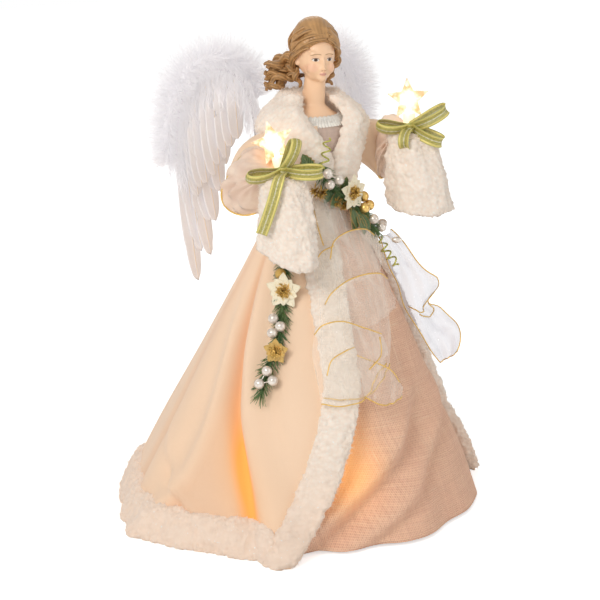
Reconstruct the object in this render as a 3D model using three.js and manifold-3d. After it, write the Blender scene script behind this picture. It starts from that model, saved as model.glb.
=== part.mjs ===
// Angel tree topper: a cloth and resin figure on a hollow cone that fits over the tip of a tree.
// Millimetres, +Z up. The cone stands on z = 0 round the Z axis, and the figure faces -Y.
// Angles round the figure are measured from its front, positive towards its left hand (+X).
import * as THREE from "three";
import Module from "manifold-3d";
import { mergeVertices } from "three/addons/utils/BufferGeometryUtils.js";

const wasm = await Module();
wasm.setup();

// Driving sizes
const gap = 0.3; // between pieces that touch
const seam = 0.4; // between one layer of cloth and the next
const overrun = 2; // how far a cutter runs past what it cuts
const sunk = 1.1; // how deep a pile backing is drawn before the cloth under it is cut away
const waist = { height: 262, halfWidth: 23.5, halfDepth: 19, forward: 10 };
const hem = { radius: 153, underInset: 15, underLift: 3 };
const torso = { height: 75, halfWidth: 36 };
const cone = { radius: 100, topRadius: 17, belowWaist: 26, wall: 2, rimWidth: 6, rimHeight: 3 };
const coneCap = { thick: 4, lip: 3, hole: 5 };
const cloth = { under: 1.4, robe: 1.8, bodice: 1.4, sleeve: 1.6, organza: 0.8, lace: 1.2 };
const fold = { depth: 9, underDepth: 3 };
const fur = { thick: 7, hemHeight: 28, bandWidth: 27, collarWidth: 30, collarThick: 9, cuffThick: 5 };
const head = { height: 50, rise: 37, forward: 13, neckRadius: 8.6, turn: -14 };
const arm = { reach: 100, wire: 1.6, rise: 44 };
const candle = { radius: 5, bore: 3.9, height: 31, lean: { right: 17, left: 4 } };
const holder = { radius: 3.6, bore: 2.5, depth: 11, height: 20 };
const bulb = { radius: 2.2, height: 20 };
const star = { radius: 17.5, innerShare: 0.46, thick: 6, bore: 2.6, bevel: 1.2 };
const ribbon = { width: 9, thick: 0.9, loop: 30 };
const fist = { radius: 8 };
const wing = { reach: 87, height: 200, rise: 38, back: 40, hingeX: 12, sweep: 9, wire: 1.4 };
const feather = { width: 19, thick: 0.8, tilt: 9, band: 9, bandThick: 2 };
const boa = { radius: 9.5 };
const bracket = { width: 34, height: 26, thick: 2, pin: 1.5, pinHeight: 22, boss: 4 };
const garland = { reach: 100, stem: 1.5, needle: 13, needleThick: 0.9, robeGap: 0.3 };
const pearl = { radius: 4.2, wire: 0.6 };
const berry = { radius: 4.4 };
const flower = { radius: 15, petalWidth: 9.5, petalThick: 0.9, centre: 4.2 };
const tendril = { coil: 3.2, wire: 0.7, pitch: 6.8 };
const organza = { wave: 3, bottom: 112, tailWidth: 30 };
const lamp = { radius: 2.6, depth: 14, hole: 3.1 };
const cable = { radius: 1.1 };

// Heights that follow the waist
const underRadius = hem.radius - hem.underInset;
const coneHeight = waist.height - cone.belowWaist; // of the cone's top
const shoulderHeight = waist.height + arm.rise; // of the arm wire
const headHeight = waist.height + torso.height + head.rise; // of the head's middle
const hingeHeight = waist.height + wing.rise; // of the wings' pivots

// Colours and finishes
const finish = {
  ivoryCloth: [0xf3dcc0, 0.85, 0],
  pinkLinen: [0xd0a08c, 0.9, 0],
  taupeLinen: [0xb9a294, 0.9, 0],
  lace: [0xf4efe2, 0.9, 0],
  sherpa: [0xf4efe6, 1, 0],
  feather: [0xf6f2f2, 0.8, 0],
  organza: [0xefe7da, 0.5, 0],
  ribbon: [0xa9ad4c, 0.5, 0],
  resin: [0xeac4a6, 0.5, 0],
  hair: [0xa9743f, 0.5, 0],
  card: [0xd9cfc0, 0.9, 0],
  candle: [0xfdf3dc, 0.4, 0],
  plastic: [0xe8e4d8, 0.4, 0],
  bulb: [0xffe9b0, 0.1, 0],
  star: [0xfff3cf, 0.1, 0],
  pine: [0x2f4f1d, 0.7, 0],
  leaf: [0x64752c, 0.6, 0],
  gold: [0xc79a3a, 0.3, 1],
  pearl: [0xf5f0e8, 0.25, 0],
  petal: [0xf1e7cf, 0.7, 0],
  steel: [0x9a9a9a, 0.35, 1],
  cable: [0x2c4a2b, 0.6, 0],
};

// General helpers
const V = (x, y, z) => new THREE.Vector3(x, y, z);
const rad = THREE.MathUtils.degToRad;
const mix = THREE.MathUtils.lerp;
const up = V(0, 0, 1);
const fullTurn = 360;

function facingOut(geometry) {
  const p = geometry.getAttribute("position");
  const index = geometry.index.array;
  let volume = 0;
  for (let i = 0; i < index.length; i += 3) {
    const [a, b, c] = [0, 1, 2].map((k) => V().fromBufferAttribute(p, index[i + k]));
    volume += a.dot(b.cross(c));
  }
  if (volume < 0)
    for (let i = 0; i < index.length; i += 3)
      [index[i + 1], index[i + 2]] = [index[i + 2], index[i + 1]];
  return geometry;
}

function fromFaces(points, faces) {
  const geometry = new THREE.BufferGeometry().setFromPoints(points);
  geometry.setIndex(faces.flat());
  return facingOut(geometry);
}

function quad(faces, a, b, c, d) {
  faces.push([a, b, c], [a, c, d]);
}

// A closed sheet between two surfaces over u and v in 0..1, such as a hung cloth or a petal.
function sheet(across, along, front, back) {
  const points = [];
  for (const face of [front, back])
    for (let j = 0; j <= along; j++)
      for (let i = 0; i <= across; i++) points.push(face(i / across, j / along));
  const row = across + 1;
  const other = row * (along + 1);
  const faces = [];
  for (let j = 0; j < along; j++)
    for (let i = 0; i < across; i++) {
      const a = j * row + i;
      quad(faces, a, a + 1, a + row + 1, a + row);
      quad(faces, other + a, other + a + row, other + a + row + 1, other + a + 1);
    }
  for (let i = 0; i < across; i++) {
    const end = along * row + i;
    quad(faces, i, other + i, other + i + 1, i + 1);
    quad(faces, end, end + 1, other + end + 1, other + end);
  }
  for (let j = 0; j < along; j++) {
    const a = j * row;
    const b = a + across;
    quad(faces, a, a + row, other + a + row, other + a);
    quad(faces, b, other + b, other + b + row, b + row);
  }
  return fromFaces(points, faces);
}

// A closed loft of rings, round in u, capped at both ends.
function loft(sides, along, ring) {
  const points = [];
  for (let j = 0; j <= along; j++)
    for (let i = 0; i < sides; i++) points.push(ring(i / sides, j / along));
  const faces = [];
  for (let j = 0; j < along; j++)
    for (let i = 0; i < sides; i++) {
      const next = (i + 1) % sides;
      const a = j * sides;
      quad(faces, a + i, a + next, a + sides + next, a + sides + i);
    }
  for (const j of [0, along]) {
    const middle = V();
    for (let i = 0; i < sides; i++) middle.addScaledVector(points[j * sides + i], 1 / sides);
    points.push(middle);
    const c = points.length - 1;
    for (let i = 0; i < sides; i++) {
      const [a, b] = [j * sides + i, j * sides + ((i + 1) % sides)];
      faces.push(j ? [a, b, c] : [b, a, c]);
    }
  }
  return fromFaces(points, faces);
}

// A tube of cloth with a wall, open at both ends.
function sleeveShell(sides, along, outer, inner) {
  const points = [];
  for (const face of [outer, inner])
    for (let j = 0; j <= along; j++)
      for (let i = 0; i < sides; i++) points.push(face(i / sides, j / along));
  const other = sides * (along + 1);
  const faces = [];
  for (let i = 0; i < sides; i++) {
    const next = (i + 1) % sides;
    for (let j = 0; j < along; j++) {
      const a = j * sides;
      quad(faces, a + i, a + next, a + sides + next, a + sides + i);
      quad(faces, other + a + i, other + a + sides + i, other + a + sides + next, other + a + next);
    }
    const end = along * sides;
    quad(faces, i, other + i, other + next, next);
    quad(faces, end + i, end + next, other + end + next, other + end + i);
  }
  return fromFaces(points, faces);
}

function curveThrough(points) {
  return new THREE.CatmullRomCurve3(points, false, "centripetal");
}

function tube(curve, radius, sides, steps) {
  const section = new THREE.Shape();
  for (let i = 0; i < sides; i++) {
    const turn = (2 * Math.PI * i) / sides;
    const [x, y] = [radius * Math.cos(turn), radius * Math.sin(turn)];
    if (i) section.lineTo(x, y);
    else section.moveTo(x, y);
  }
  return new THREE.ExtrudeGeometry(section, { steps, extrudePath: curve, bevelEnabled: false });
}

// A revolved solid about Z from [radius, height] rows that start and end on the axis or close.
function turned(rows, sides) {
  const profile = rows.map(([r, z]) => new THREE.Vector2(r, z));
  return new THREE.LatheGeometry(profile, sides).rotateX(Math.PI / 2);
}

function ball(radius, centre, detail = 1) {
  return new THREE.IcosahedronGeometry(radius, detail).translate(centre.x, centre.y, centre.z);
}

function egg(centre, wide, deep, tall, columns = 12, rows = 8) {
  const g = new THREE.SphereGeometry(1, columns, rows).rotateX(Math.PI / 2);
  return g.scale(wide, deep, tall).translate(centre.x, centre.y, centre.z);
}

function solid(geometry) {
  const plain = geometry.clone();
  plain.deleteAttribute("normal");
  plain.deleteAttribute("uv");
  const merged = facingOut(mergeVertices(plain, 1e-4));
  const index = merged.index.array;
  const p = merged.getAttribute("position");
  const kept = [];
  for (let i = 0; i < index.length; i += 3) {
    const [a, b, c] = [index[i], index[i + 1], index[i + 2]];
    if (a !== b && b !== c && c !== a) kept.push(a, b, c);
  }
  const triVerts = new Uint32Array(kept);
  return new wasm.Manifold(
    new wasm.Mesh({ numProp: 3, vertProperties: new Float32Array(p.array), triVerts }),
  );
}

function joined(geometries) {
  return wasm.Manifold.union(geometries.map((g) => (g.getMesh ? g : solid(g))));
}

function geometryOf(made) {
  const mesh = made.getMesh();
  const g = new THREE.BufferGeometry();
  g.setAttribute("position", new THREE.BufferAttribute(mesh.vertProperties, 3));
  g.setIndex(new THREE.BufferAttribute(mesh.triVerts, 1));
  return g;
}

// The largest body that is left after a cut; the snips that fall off cloth are thrown away.
function mainBody(made) {
  const bodies = made.decompose();
  return bodies.sort((a, b) => b.volume() - a.volume())[0];
}

const topper = new THREE.Group();

function add(name, shape, look) {
  const geometry = shape.getMesh ? geometryOf(shape) : shape;
  const [color, roughness, metalness] = finish[look];
  const mesh = new THREE.Mesh(
    geometry,
    new THREE.MeshStandardMaterial({ color, roughness, metalness }),
  );
  mesh.name = name;
  topper.add(mesh);
  return mesh;
}

const sides = [
  { name: "right", sign: -1 },
  { name: "left", sign: 1 },
];

// The figure's own surface: half width and half depth at each height.
// Rows are shares: height over the waist of the torso's height, then half width and half depth
// of the shoulders' half width.
const torsoShares = [
  [0.24, 0.73, 0.57],
  [0.5, 0.89, 0.62],
  [0.72, 1, 0.58],
  [0.84, 0.78, 0.46],
  [0.93, 0.42, 0.36],
  [1, 0.25, 0.25],
];
const flarePower = 0.95;
const leanShare = 0.76; // of the waist height, above which the figure leans no further forward

function skirtDrop(z) {
  return Math.min(1, Math.max(0, 1 - z / waist.height));
}

function figureAt(z, hemRadius) {
  if (z <= waist.height) {
    const drop = skirtDrop(z);
    const flare = drop ** flarePower;
    return {
      wide: mix(waist.halfWidth, hemRadius, flare),
      deep: mix(waist.halfDepth, hemRadius, flare),
      centre: -waist.forward * Math.min(1, (1 - drop) / leanShare),
    };
  }
  const rise = (z - waist.height) / torso.height;
  const rows = [
    [0, waist.halfWidth, waist.halfDepth],
    ...torsoShares.map(([h, w, d]) => [h, w * torso.halfWidth, d * torso.halfWidth]),
  ];
  let k = 1;
  while (k < rows.length - 1 && rise > rows[k][0]) k++;
  const [low, high] = [rows[k - 1], rows[k]];
  const share = Math.min(1, (rise - low[0]) / (high[0] - low[0]));
  return {
    wide: mix(low[1], high[1], share),
    deep: mix(low[2], high[2], share),
    centre: -waist.forward,
  };
}

function onFigure(angle, z, off, hemRadius = hem.radius, ripple = 0) {
  const s = figureAt(z, hemRadius);
  const turn = rad(angle);
  const grown = off + ripple;
  return V((s.wide + grown) * Math.sin(turn), s.centre - (s.deep + grown) * Math.cos(turn), z);
}

// Main folds of the robe's skirt: [angle, depth share, half width in degrees].
const robeFoldShares = [
  [-48, 0.35, 9],
  [-68, -1, 11],
  [-98, 0.6, 16],
  [-126, -0.6, 11],
  [-152, 0.5, 13],
  [-178, -0.7, 11],
  [-204, 0.5, 13],
  [-230, -0.6, 11],
  [-258, 0.5, 14],
  [-288, 0.9, 9],
];

function robeFold(angle, z) {
  const drop = skirtDrop(z);
  let sum = 0;
  for (const [middle, share, width] of robeFoldShares)
    sum += share * Math.exp(-(((angle - middle) / width) ** 2));
  return fold.depth * drop ** 1.2 * sum;
}

const underFolds = 9;

function underFold(angle, z) {
  return fold.underDepth * skirtDrop(z) * Math.cos(rad(angle * underFolds));
}

// The robe hangs open in front: its edges, as angles, from the shoulder down to the hem.
const robeEdgeAngles = { right: -17, rightSweep: 27, left: 40, leftSweep: 34, neckSpread: 6 };

function rightEdge(z) {
  const rise = Math.max(0, (z - waist.height) / torso.height);
  const low = Math.max(0, 2 * skirtDrop(z) - 1);
  return robeEdgeAngles.right - robeEdgeAngles.rightSweep * low ** 1.2 - robeEdgeAngles.neckSpread * rise;
}

function leftEdge(z) {
  const rise = Math.max(0, (z - waist.height) / torso.height);
  const low = skirtDrop(z) ** 0.5;
  return robeEdgeAngles.left + robeEdgeAngles.leftSweep * low + robeEdgeAngles.neckSpread * rise;
}

const robeInner = seam + cloth.under + seam;
const robeOuter = robeInner + cloth.robe;
const torsoRowShares = [0, 0.24, 0.5, 0.72, 0.8];
const skirtRowShares = [1, 0.84, 0.68, 0.52, 0.36, 0.2, 0.08];
const robeHeights = [
  ...skirtRowShares.map((s) => waist.height * (1 - s)),
  ...torsoRowShares.map((s) => waist.height + s * torso.height),
];

function heightAt(rows, v) {
  return rows[Math.round(v * (rows.length - 1))];
}

// The robe as one shell; grown, it is the cutter that keeps its trimming clear of it.
function robeShell(grow = 0) {
  const columns = 28;
  const surface = (off) => (u, v) => {
    const z = heightAt(robeHeights, v) + (v === 1 ? grow : v === 0 ? -grow : 0);
    const spread = (grow / figureAt(z, hem.radius).wide) * (180 / Math.PI);
    const from = rightEdge(z) + spread;
    const angle = mix(from, leftEdge(z) - fullTurn - spread, u);
    return onFigure(angle, z, off, hem.radius, robeFold(angle, z));
  };
  return solid(
    sheet(columns, robeHeights.length - 1, surface(robeOuter + grow), surface(robeInner - grow)),
  );
}

// The figure's solid body from below the waist to the neck, grown by a distance; its flat sides
// stand outside the true curve.
function figureSolid(grow, columns = 32) {
  const heights = [waist.height - 12 * overrun];
  for (const s of [...torsoRowShares, 0.9]) heights.push(waist.height + s * torso.height);
  return solid(
    loft(columns, heights.length - 1, (u, v) => {
      const z = heightAt(heights, v);
      const flat = figureAt(z, hem.radius).wide * (1 / Math.cos(Math.PI / columns) - 1);
      return onFigure(fullTurn * u, z, grow + flat);
    }),
  );
}

// Cone, its cap, its lamps and their lead
const lampShares = [
  [-30, 0.2],
  [-75, 0.32],
  [30, 0.3],
  [150, 0.25],
];

function coneRadius(z) {
  return mix(cone.radius, cone.topRadius, z / coneHeight);
}

function lampFrame(angle, share) {
  const z = share * coneHeight;
  const turn = rad(angle);
  return { out: V(Math.sin(turn), -Math.cos(turn), 0), z, radius: coneRadius(z) };
}

function alongRay(geometry, frame, start) {
  const turn = new THREE.Quaternion().setFromUnitVectors(up, frame.out);
  const place = frame.out.clone().multiplyScalar(start).setZ(frame.z);
  return geometry.applyMatrix4(new THREE.Matrix4().compose(place, turn, V(1, 1, 1)));
}

function treeCone() {
  const slope = cone.wall;
  const shell = turned(
    [
      [cone.radius - slope, 0],
      [cone.radius + cone.rimWidth, 0],
      [cone.radius + cone.rimWidth, cone.rimHeight],
      [coneRadius(cone.rimHeight), cone.rimHeight],
      [cone.topRadius, coneHeight],
      [cone.topRadius - slope, coneHeight],
      [cone.radius - slope, 0],
    ],
    22,
  );
  let made = solid(shell);
  for (const [angle, share] of lampShares) {
    const frame = lampFrame(angle, share);
    const reach = 4 * overrun + cone.wall;
    const cutter = new THREE.CylinderGeometry(lamp.hole, lamp.hole, 2 * reach, 8).rotateX(Math.PI / 2);
    made = made.subtract(solid(alongRay(cutter, frame, frame.radius)));
  }
  return made;
}

function coneCapRing() {
  const inner = cone.topRadius - cone.wall - gap;
  return turned(
    [
      [coneCap.hole, coneHeight - coneCap.lip],
      [inner, coneHeight - coneCap.lip],
      [inner, coneHeight + gap],
      [cone.topRadius, coneHeight + gap],
      [cone.topRadius, coneHeight + coneCap.thick],
      [coneCap.hole, coneHeight + coneCap.thick],
      [coneCap.hole, coneHeight - coneCap.lip],
    ],
    16,
  );
}

function skirtLamp(angle, share) {
  const frame = lampFrame(angle, share);
  const half = lamp.depth / 2;
  const shape = turned(
    [
      [0, -half],
      [lamp.radius, -half],
      [lamp.radius, half / 3],
      [0.8 * lamp.radius, 0.75 * half],
      [0, half],
    ],
    8,
  );
  return alongRay(shape, frame, frame.radius);
}

function lampTail(angle, share) {
  const frame = lampFrame(angle, share);
  const start = frame.radius - lamp.depth / 2 - cable.radius - gap;
  return frame.out.clone().multiplyScalar(start).setZ(frame.z);
}

// The lead runs round the inside of the cone behind each lamp, then climbs to the cap's hole.
function lightWire() {
  const order = [...lampShares].sort((a, b) => b[0] - a[0]);
  const climbAngle = order[order.length - 1][0] - 25;
  const stops = [];
  [...order, [climbAngle, 0.5]].forEach(([angle, share], i, all) => {
    const [lastAngle, lastShare] = all[Math.max(0, i - 1)];
    const parts = Math.max(1, Math.ceil((lastAngle - angle) / 40));
    for (let k = 1; k <= parts; k++)
      stops.push(lampTail(mix(lastAngle, angle, k / parts), mix(lastShare, share, k / parts)));
  });
  stops.push(lampTail(climbAngle, 0.75));
  stops.push(V(-0.4 * cone.topRadius, 0, 0.9 * coneHeight));
  stops.push(V(0, 0, coneHeight));
  stops.push(V(0, 0, waist.height + 0.3 * torso.height));
  return tube(curveThrough(stops), cable.radius, 4, 34);
}

// Arms: one soft wire from fist to fist, through the shoulders.
// Places are shares of the arm's length from the middle of the shoulders.
const armShares = {
  right: [
    [-0.2, 0, 0],
    [-0.42, -0.01, -0.01],
    [-0.66, -0.12, -0.13],
    [-0.665, -0.34, -0.245],
  ],
  left: [
    [0.2, 0, 0],
    [0.42, -0.01, 0.005],
    [0.63, -0.12, -0.02],
    [0.64, -0.36, -0.035],
  ],
};
const handShares = { right: [-0.665, -0.43, -0.25], left: [0.64, -0.46, -0.04] };

function armPlace([x, y, z]) {
  return V(
    x * arm.reach,
    -waist.forward + y * arm.reach,
    shoulderHeight + z * arm.reach,
  );
}

function armWire(grow = 0) {
  const points = [...armShares.right].reverse().map(armPlace);
  points.push(...armShares.left.map(armPlace));
  return tube(curveThrough(points), arm.wire + grow, 5, 16);
}

function torsoForm() {
  const bottom = coneHeight + coneCap.thick + gap;
  const heights = [bottom, waist.height];
  for (const s of [0.24, 0.5, 0.66]) heights.push(waist.height + s * torso.height);
  const body = loft(20, heights.length - 1, (u, v) => {
    const z = heightAt(heights, v);
    return z < waist.height ? onFigure(fullTurn * u, waist.height, 0).setZ(z) : onFigure(fullTurn * u, z, 0);
  });
  const bore = 3 * cable.radius;
  const well = new THREE.CylinderGeometry(bore, bore, shoulderHeight - bottom + overrun, 10)
    .rotateX(Math.PI / 2)
    .translate(0, 0, (shoulderHeight + bottom - overrun) / 2);
  return solid(body).subtract(solid(armWire(gap))).subtract(solid(well));
}

// Head, on a shoulder plate that closes the top of the torso
const headCentre = V(0, -head.forward, headHeight);

function headPlace(x, y, z) {
  return headCentre.clone().add(V(x * head.height, y * head.height, z * head.height));
}

// The face looks a little to the figure's right.
function faced(geometry) {
  return geometry.translate(0, head.forward, 0).rotateZ(rad(head.turn)).translate(0, -head.forward, 0);
}

// Skull, jaw, chin and nose.
function headEggs(grow) {
  const h = head.height;
  return [
    egg(headPlace(0, 0.02, 0.06), 0.31 * h + grow, 0.37 * h + grow, 0.38 * h + grow, 11, 7),
    egg(headPlace(0, -0.11, -0.2), 0.235 * h + grow, 0.26 * h + grow, 0.28 * h + grow, 9, 6),
    egg(headPlace(0, -0.27, -0.4), 0.09 * h + grow, 0.09 * h + grow, 0.08 * h + grow, 7, 5),
    egg(headPlace(0, -0.37, -0.16), 0.05 * h + grow, 0.09 * h + grow, 0.085 * h + grow, 6, 5),
  ].map(faced);
}

function ear(sign, grow) {
  const h = head.height;
  const middle = headPlace(0.305 * sign, 0.02, -0.1);
  return faced(egg(middle, 0.035 * h + grow, 0.06 * h + grow, 0.1 * h + grow, 6, 5));
}

function headBust(grow = 0) {
  const plateHeights = [0.66, 0.72, 0.84, 0.93, 1, 1.12].map((s) => waist.height + s * torso.height);
  plateHeights[0] += gap - grow;
  const rows = plateHeights.length - 1;
  const plate = loft(16, rows, (u, v) => onFigure(fullTurn * u, heightAt(plateHeights, v), grow));
  const neckTop = headPlace(0, 0, -0.3);
  const neck = loft(10, 1, (u, v) => {
    const turn = 2 * Math.PI * u;
    const r = head.neckRadius * (1 + 0.12 * (1 - v)) + grow;
    const middle = V(0, -waist.forward, waist.height + 0.9 * torso.height).lerp(neckTop, v);
    return middle.add(V(r * Math.cos(turn), r * Math.sin(turn), 0));
  });
  return joined([plate, neck, ...headEggs(grow), ...sides.map(({ sign }) => ear(sign, grow))]);
}

// Hair: a swept cap with locks that end in curls, as shares of the head's height.
const lockShares = [
  [[0, -0.28, 0.5], [-0.3, -0.2, 0.32], [-0.43, 0.05, 0.05], [-0.42, 0.34, -0.16], [-0.68, 0.6, -0.2]],
  [[0.02, -0.26, 0.5], [0.3, -0.18, 0.32], [0.42, 0.06, 0.05], [0.38, 0.26, -0.2], [0.44, 0.22, -0.4]],
  [[-0.1, 0.2, 0.5], [-0.3, 0.42, 0.2], [-0.36, 0.5, -0.1], [-0.32, 0.52, -0.3], [-0.52, 0.56, -0.38]],
  [[0, 0.3, 0.48], [-0.02, 0.52, 0.2], [0, 0.58, -0.1], [-0.05, 0.54, -0.38], [0.02, 0.42, -0.52]],
  [[-0.34, -0.08, 0.12], [-0.42, 0.02, -0.1], [-0.44, 0.06, -0.28], [-0.36, 0.1, -0.42], [-0.26, 0.16, -0.4]],
];

function lock(shares) {
  const curve = curveThrough(shares.map(([x, y, z]) => headPlace(x, y, z)));
  const frames = curve.computeFrenetFrames(4, false);
  const form = loft(5, 4, (u, v) => {
    const k = Math.round(4 * v);
    const turn = 2 * Math.PI * u;
    const r = head.height * 0.12 * (0.45 + 0.8 * Math.sin(Math.PI * (0.12 + 0.74 * v)));
    return curve
      .getPointAt(v)
      .addScaledVector(frames.normals[k], r * Math.cos(turn))
      .addScaledVector(frames.binormals[k], r * Math.sin(turn));
  });
  return faced(form);
}

// The skull, jaw, ears and neck, which the hair lies on.
function headCore(grow) {
  const h = head.height;
  const neck = new THREE.CylinderGeometry(1.12 * head.neckRadius + grow, 1.12 * head.neckRadius + grow, h, 8)
    .rotateX(Math.PI / 2)
    .translate(0, -waist.forward, headHeight - 0.7 * h);
  const pieces = [neck, ...headEggs(grow).slice(0, 2)];
  for (const { sign } of sides) pieces.push(ear(sign, grow));
  return joined(pieces);
}

function hair() {
  const h = head.height;
  const cap = egg(headPlace(0, 0.08, 0.14), 0.4 * h, 0.46 * h, 0.5 * h, 10, 6);
  const face = egg(headPlace(0, -0.48, -0.16), 0.3 * h, 0.3 * h, 0.46 * h, 7, 5);
  const below = new THREE.BoxGeometry(2 * h, 2 * h, h);
  below.translate(0, -head.forward, headHeight - 0.72 * h);
  const shaped = solid(faced(cap)).subtract(solid(faced(face))).subtract(solid(below));
  const all = joined([shaped, ...lockShares.map(lock)]);
  return mainBody(all.subtract(headCore(gap)));
}

// Cloth round the torso
function bodiceShell() {
  const heights = [waist.height + gap];
  for (const s of [0.24, 0.5, 0.72, 0.78]) heights.push(waist.height + s * torso.height);
  const surface = (off) => (u, v) => onFigure(mix(-70, 70, u), heightAt(heights, v), off);
  return sheet(10, heights.length - 1, surface(seam + cloth.bodice), surface(seam));
}

function laceBand() {
  const shares = [0.79, 0.84, 0.88];
  const waves = 6;
  const surface = (off) => (u, v) => {
    const z = waist.height + heightAt(shares, v) * torso.height;
    const scallop = v === 1 ? 0.5 * cloth.lace * Math.cos(2 * Math.PI * waves * u) : 0;
    return onFigure(mix(-72, 72, u), z + scallop + gap, off);
  };
  return sheet(2 * waves + 1, 2, surface(seam + cloth.lace), surface(seam));
}

function underSkirt() {
  const heights = [1, 0.76, 0.52, 0.36, 0.2, 0.08, 0].map((s) => waist.height * (1 - s));
  heights[0] = hem.underLift;
  const surface = (off) => (u, v) => {
    const z = heightAt(heights, v);
    const spread = 14;
    const angle = mix(rightEdge(z) - spread, leftEdge(z) + spread, u);
    return onFigure(angle, z, off, underRadius, underFold(angle, z));
  };
  return sheet(2 * underFolds, heights.length - 1, surface(seam + cloth.under), surface(seam));
}

// Pile trimming: a band whose middle is thicker than its edges
function crown(u) {
  return 1 - 0.55 * (2 * u - 1) ** 4;
}

function bandDegrees(z) {
  return (fur.bandWidth / (figureAt(z, hem.radius).wide + robeOuter)) * (180 / Math.PI);
}

function hemFur() {
  const clear = (gap / hem.radius) * (180 / Math.PI);
  const from = rightEdge(0) - bandDegrees(0) - clear;
  const to = leftEdge(0) - fullTurn + bandDegrees(0) + clear;
  const surface = (thick) => (u, v) => {
    const angle = mix(from, to, u);
    const z = v * fur.hemHeight;
    const off = robeOuter + (thick ? fur.thick * crown(0.15 + 0.85 * v) : -sunk);
    return onFigure(angle, z, off, hem.radius, robeFold(angle, z));
  };
  const columns = 3 * robeFoldShares.length + 3;
  return mainBody(solid(sheet(columns, 2, surface(true), surface(false))).subtract(robeShell(gap)));
}

function frontFur(side) {
  const heights = skirtRowShares.map((s) => waist.height * (1 - s));
  heights.push(waist.height);
  const surface = (thick) => (u, v) => {
    const z = heightAt(heights, v);
    const inward = side.sign * bandDegrees(z);
    const edge = side.sign < 0 ? rightEdge(z) : leftEdge(z) - fullTurn;
    const angle = edge + inward * u;
    const off = robeOuter + (thick ? fur.thick * crown(u) : -sunk);
    return onFigure(angle, z, off, hem.radius, robeFold(angle, z));
  };
  const band = sheet(3, heights.length - 1, surface(true), surface(false));
  return mainBody(solid(band).subtract(robeShell(gap)));
}

// Shawl collar: from one side of the waist, round the back of the neck, to the other.
// Rows are an angle from the front and a height share of the torso, for half of the collar.
const collarShares = [
  [39, 0.06],
  [38, 0.28],
  [45, 0.48],
  [59, 0.64],
  [88, 0.76],
  [128, 0.84],
];

function collarShell(grow = 0) {
  const half = collarShares.map(([a, s]) => V(a, s * torso.height, 0));
  const route = curveThrough([
    ...half.map((p) => V(-p.x, p.y, 0)),
    V(-180, 0.87 * torso.height, 0),
    ...half.reverse().map((p) => V(p.x - fullTurn, p.y, 0)),
  ]);
  const surface = (thick) => (u, v) => {
    const p = route.getPointAt(v);
    const t = route.getTangentAt(v);
    const size = figureAt(waist.height + p.y, hem.radius);
    const perDegree = (Math.PI / 180) * (size.wide + size.deep) * 0.5;
    const along = V(t.x * perDegree, t.y, 0).normalize();
    const reach = (u - 0.5) * (fur.collarWidth * mix(0.7, 1, Math.sin(Math.PI * v)) + 2 * grow);
    const angle = p.x + (-along.y * reach) / perDegree;
    const z = waist.height + p.y + along.x * reach;
    const off = robeOuter + (thick ? fur.collarThick * crown(u) + grow : -sunk);
    const lifted = onFigure(angle, Math.min(z, waist.height + 0.98 * torso.height), off);
    if (thick) lifted.z += 0.35 * fur.collarThick * Math.max(0, p.y / torso.height - 0.5);
    return lifted;
  };
  return sheet(3, 18, surface(true), surface(false));
}

function furCollar() {
  const around = solid(collarShell()).subtract(figureSolid(robeOuter + gap, 20));
  return mainBody(around.subtract(solid(armWire(gap))));
}

// Sleeves and cuffs: rings of [x, y, z, half width, half height, turn in degrees]; places and
// sizes are shares of the arm's length from the middle of the shoulders.
const sleeveShares = {
  right: [
    [-0.37, 0, -0.02, 0.12, 0.13, 80],
    [-0.52, -0.02, -0.06, 0.15, 0.19, 62],
    [-0.64, -0.07, -0.15, 0.16, 0.24, 42],
    [-0.7, -0.12, -0.25, 0.155, 0.26, 22],
  ],
  left: [
    [0.37, 0, -0.02, 0.12, 0.13, -80],
    [0.51, -0.02, -0.04, 0.15, 0.18, -62],
    [0.62, -0.06, -0.09, 0.16, 0.22, -42],
    [0.68, -0.11, -0.14, 0.155, 0.24, -22],
  ],
};

function ringOn(rows, grow, u, v) {
  const place = v * (rows.length - 1);
  const k = Math.min(rows.length - 2, Math.floor(place));
  const row = rows[k].map((value, i) => mix(value, rows[k + 1][i], place - k));
  const middle = armPlace(row);
  const turn = 2 * Math.PI * u;
  const [wide, tall] = [row[3] * arm.reach + grow, row[4] * arm.reach + grow];
  const facing = rad(row[5]);
  const sideways = V(Math.cos(facing), -Math.sin(facing), 0);
  return middle.addScaledVector(sideways, wide * Math.cos(turn)).addScaledVector(up, tall * Math.sin(turn));
}

function sleeve(side) {
  const rows = sleeveShares[side.name];
  const shell = sleeveShell(
    12,
    4,
    (u, v) => ringOn(rows, 0, u, v),
    (u, v) => ringOn(rows, -cloth.sleeve, u, v),
  );
  const body = solid(shell).subtract(figureSolid(robeOuter + gap)).subtract(solid(collarShell(gap)));
  return mainBody(body.subtract(solid(armWire(gap))));
}

// Cuff rings: [x, y, z, half width, half depth, slope], all shares of the arm's length.
// The slope is how far the front of the ring hangs below its middle.
const cuffShares = {
  right: [
    [-0.665, -0.43, -0.135, 0.115, 0.115, 0],
    [-0.665, -0.435, -0.17, 0.165, 0.17, 0.01],
    [-0.66, -0.44, -0.3, 0.19, 0.22, 0.04],
    [-0.65, -0.46, -0.55, 0.19, 0.25, 0.08],
    [-0.65, -0.46, -0.8, 0.2, 0.27, 0.09],
  ],
  left: [
    [0.64, -0.46, 0.075, 0.115, 0.115, 0],
    [0.645, -0.465, 0.04, 0.17, 0.17, 0.005],
    [0.66, -0.475, -0.08, 0.21, 0.22, 0.01],
    [0.69, -0.49, -0.3, 0.235, 0.25, 0.02],
    [0.71, -0.5, -0.58, 0.255, 0.27, 0.03],
  ],
};

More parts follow.
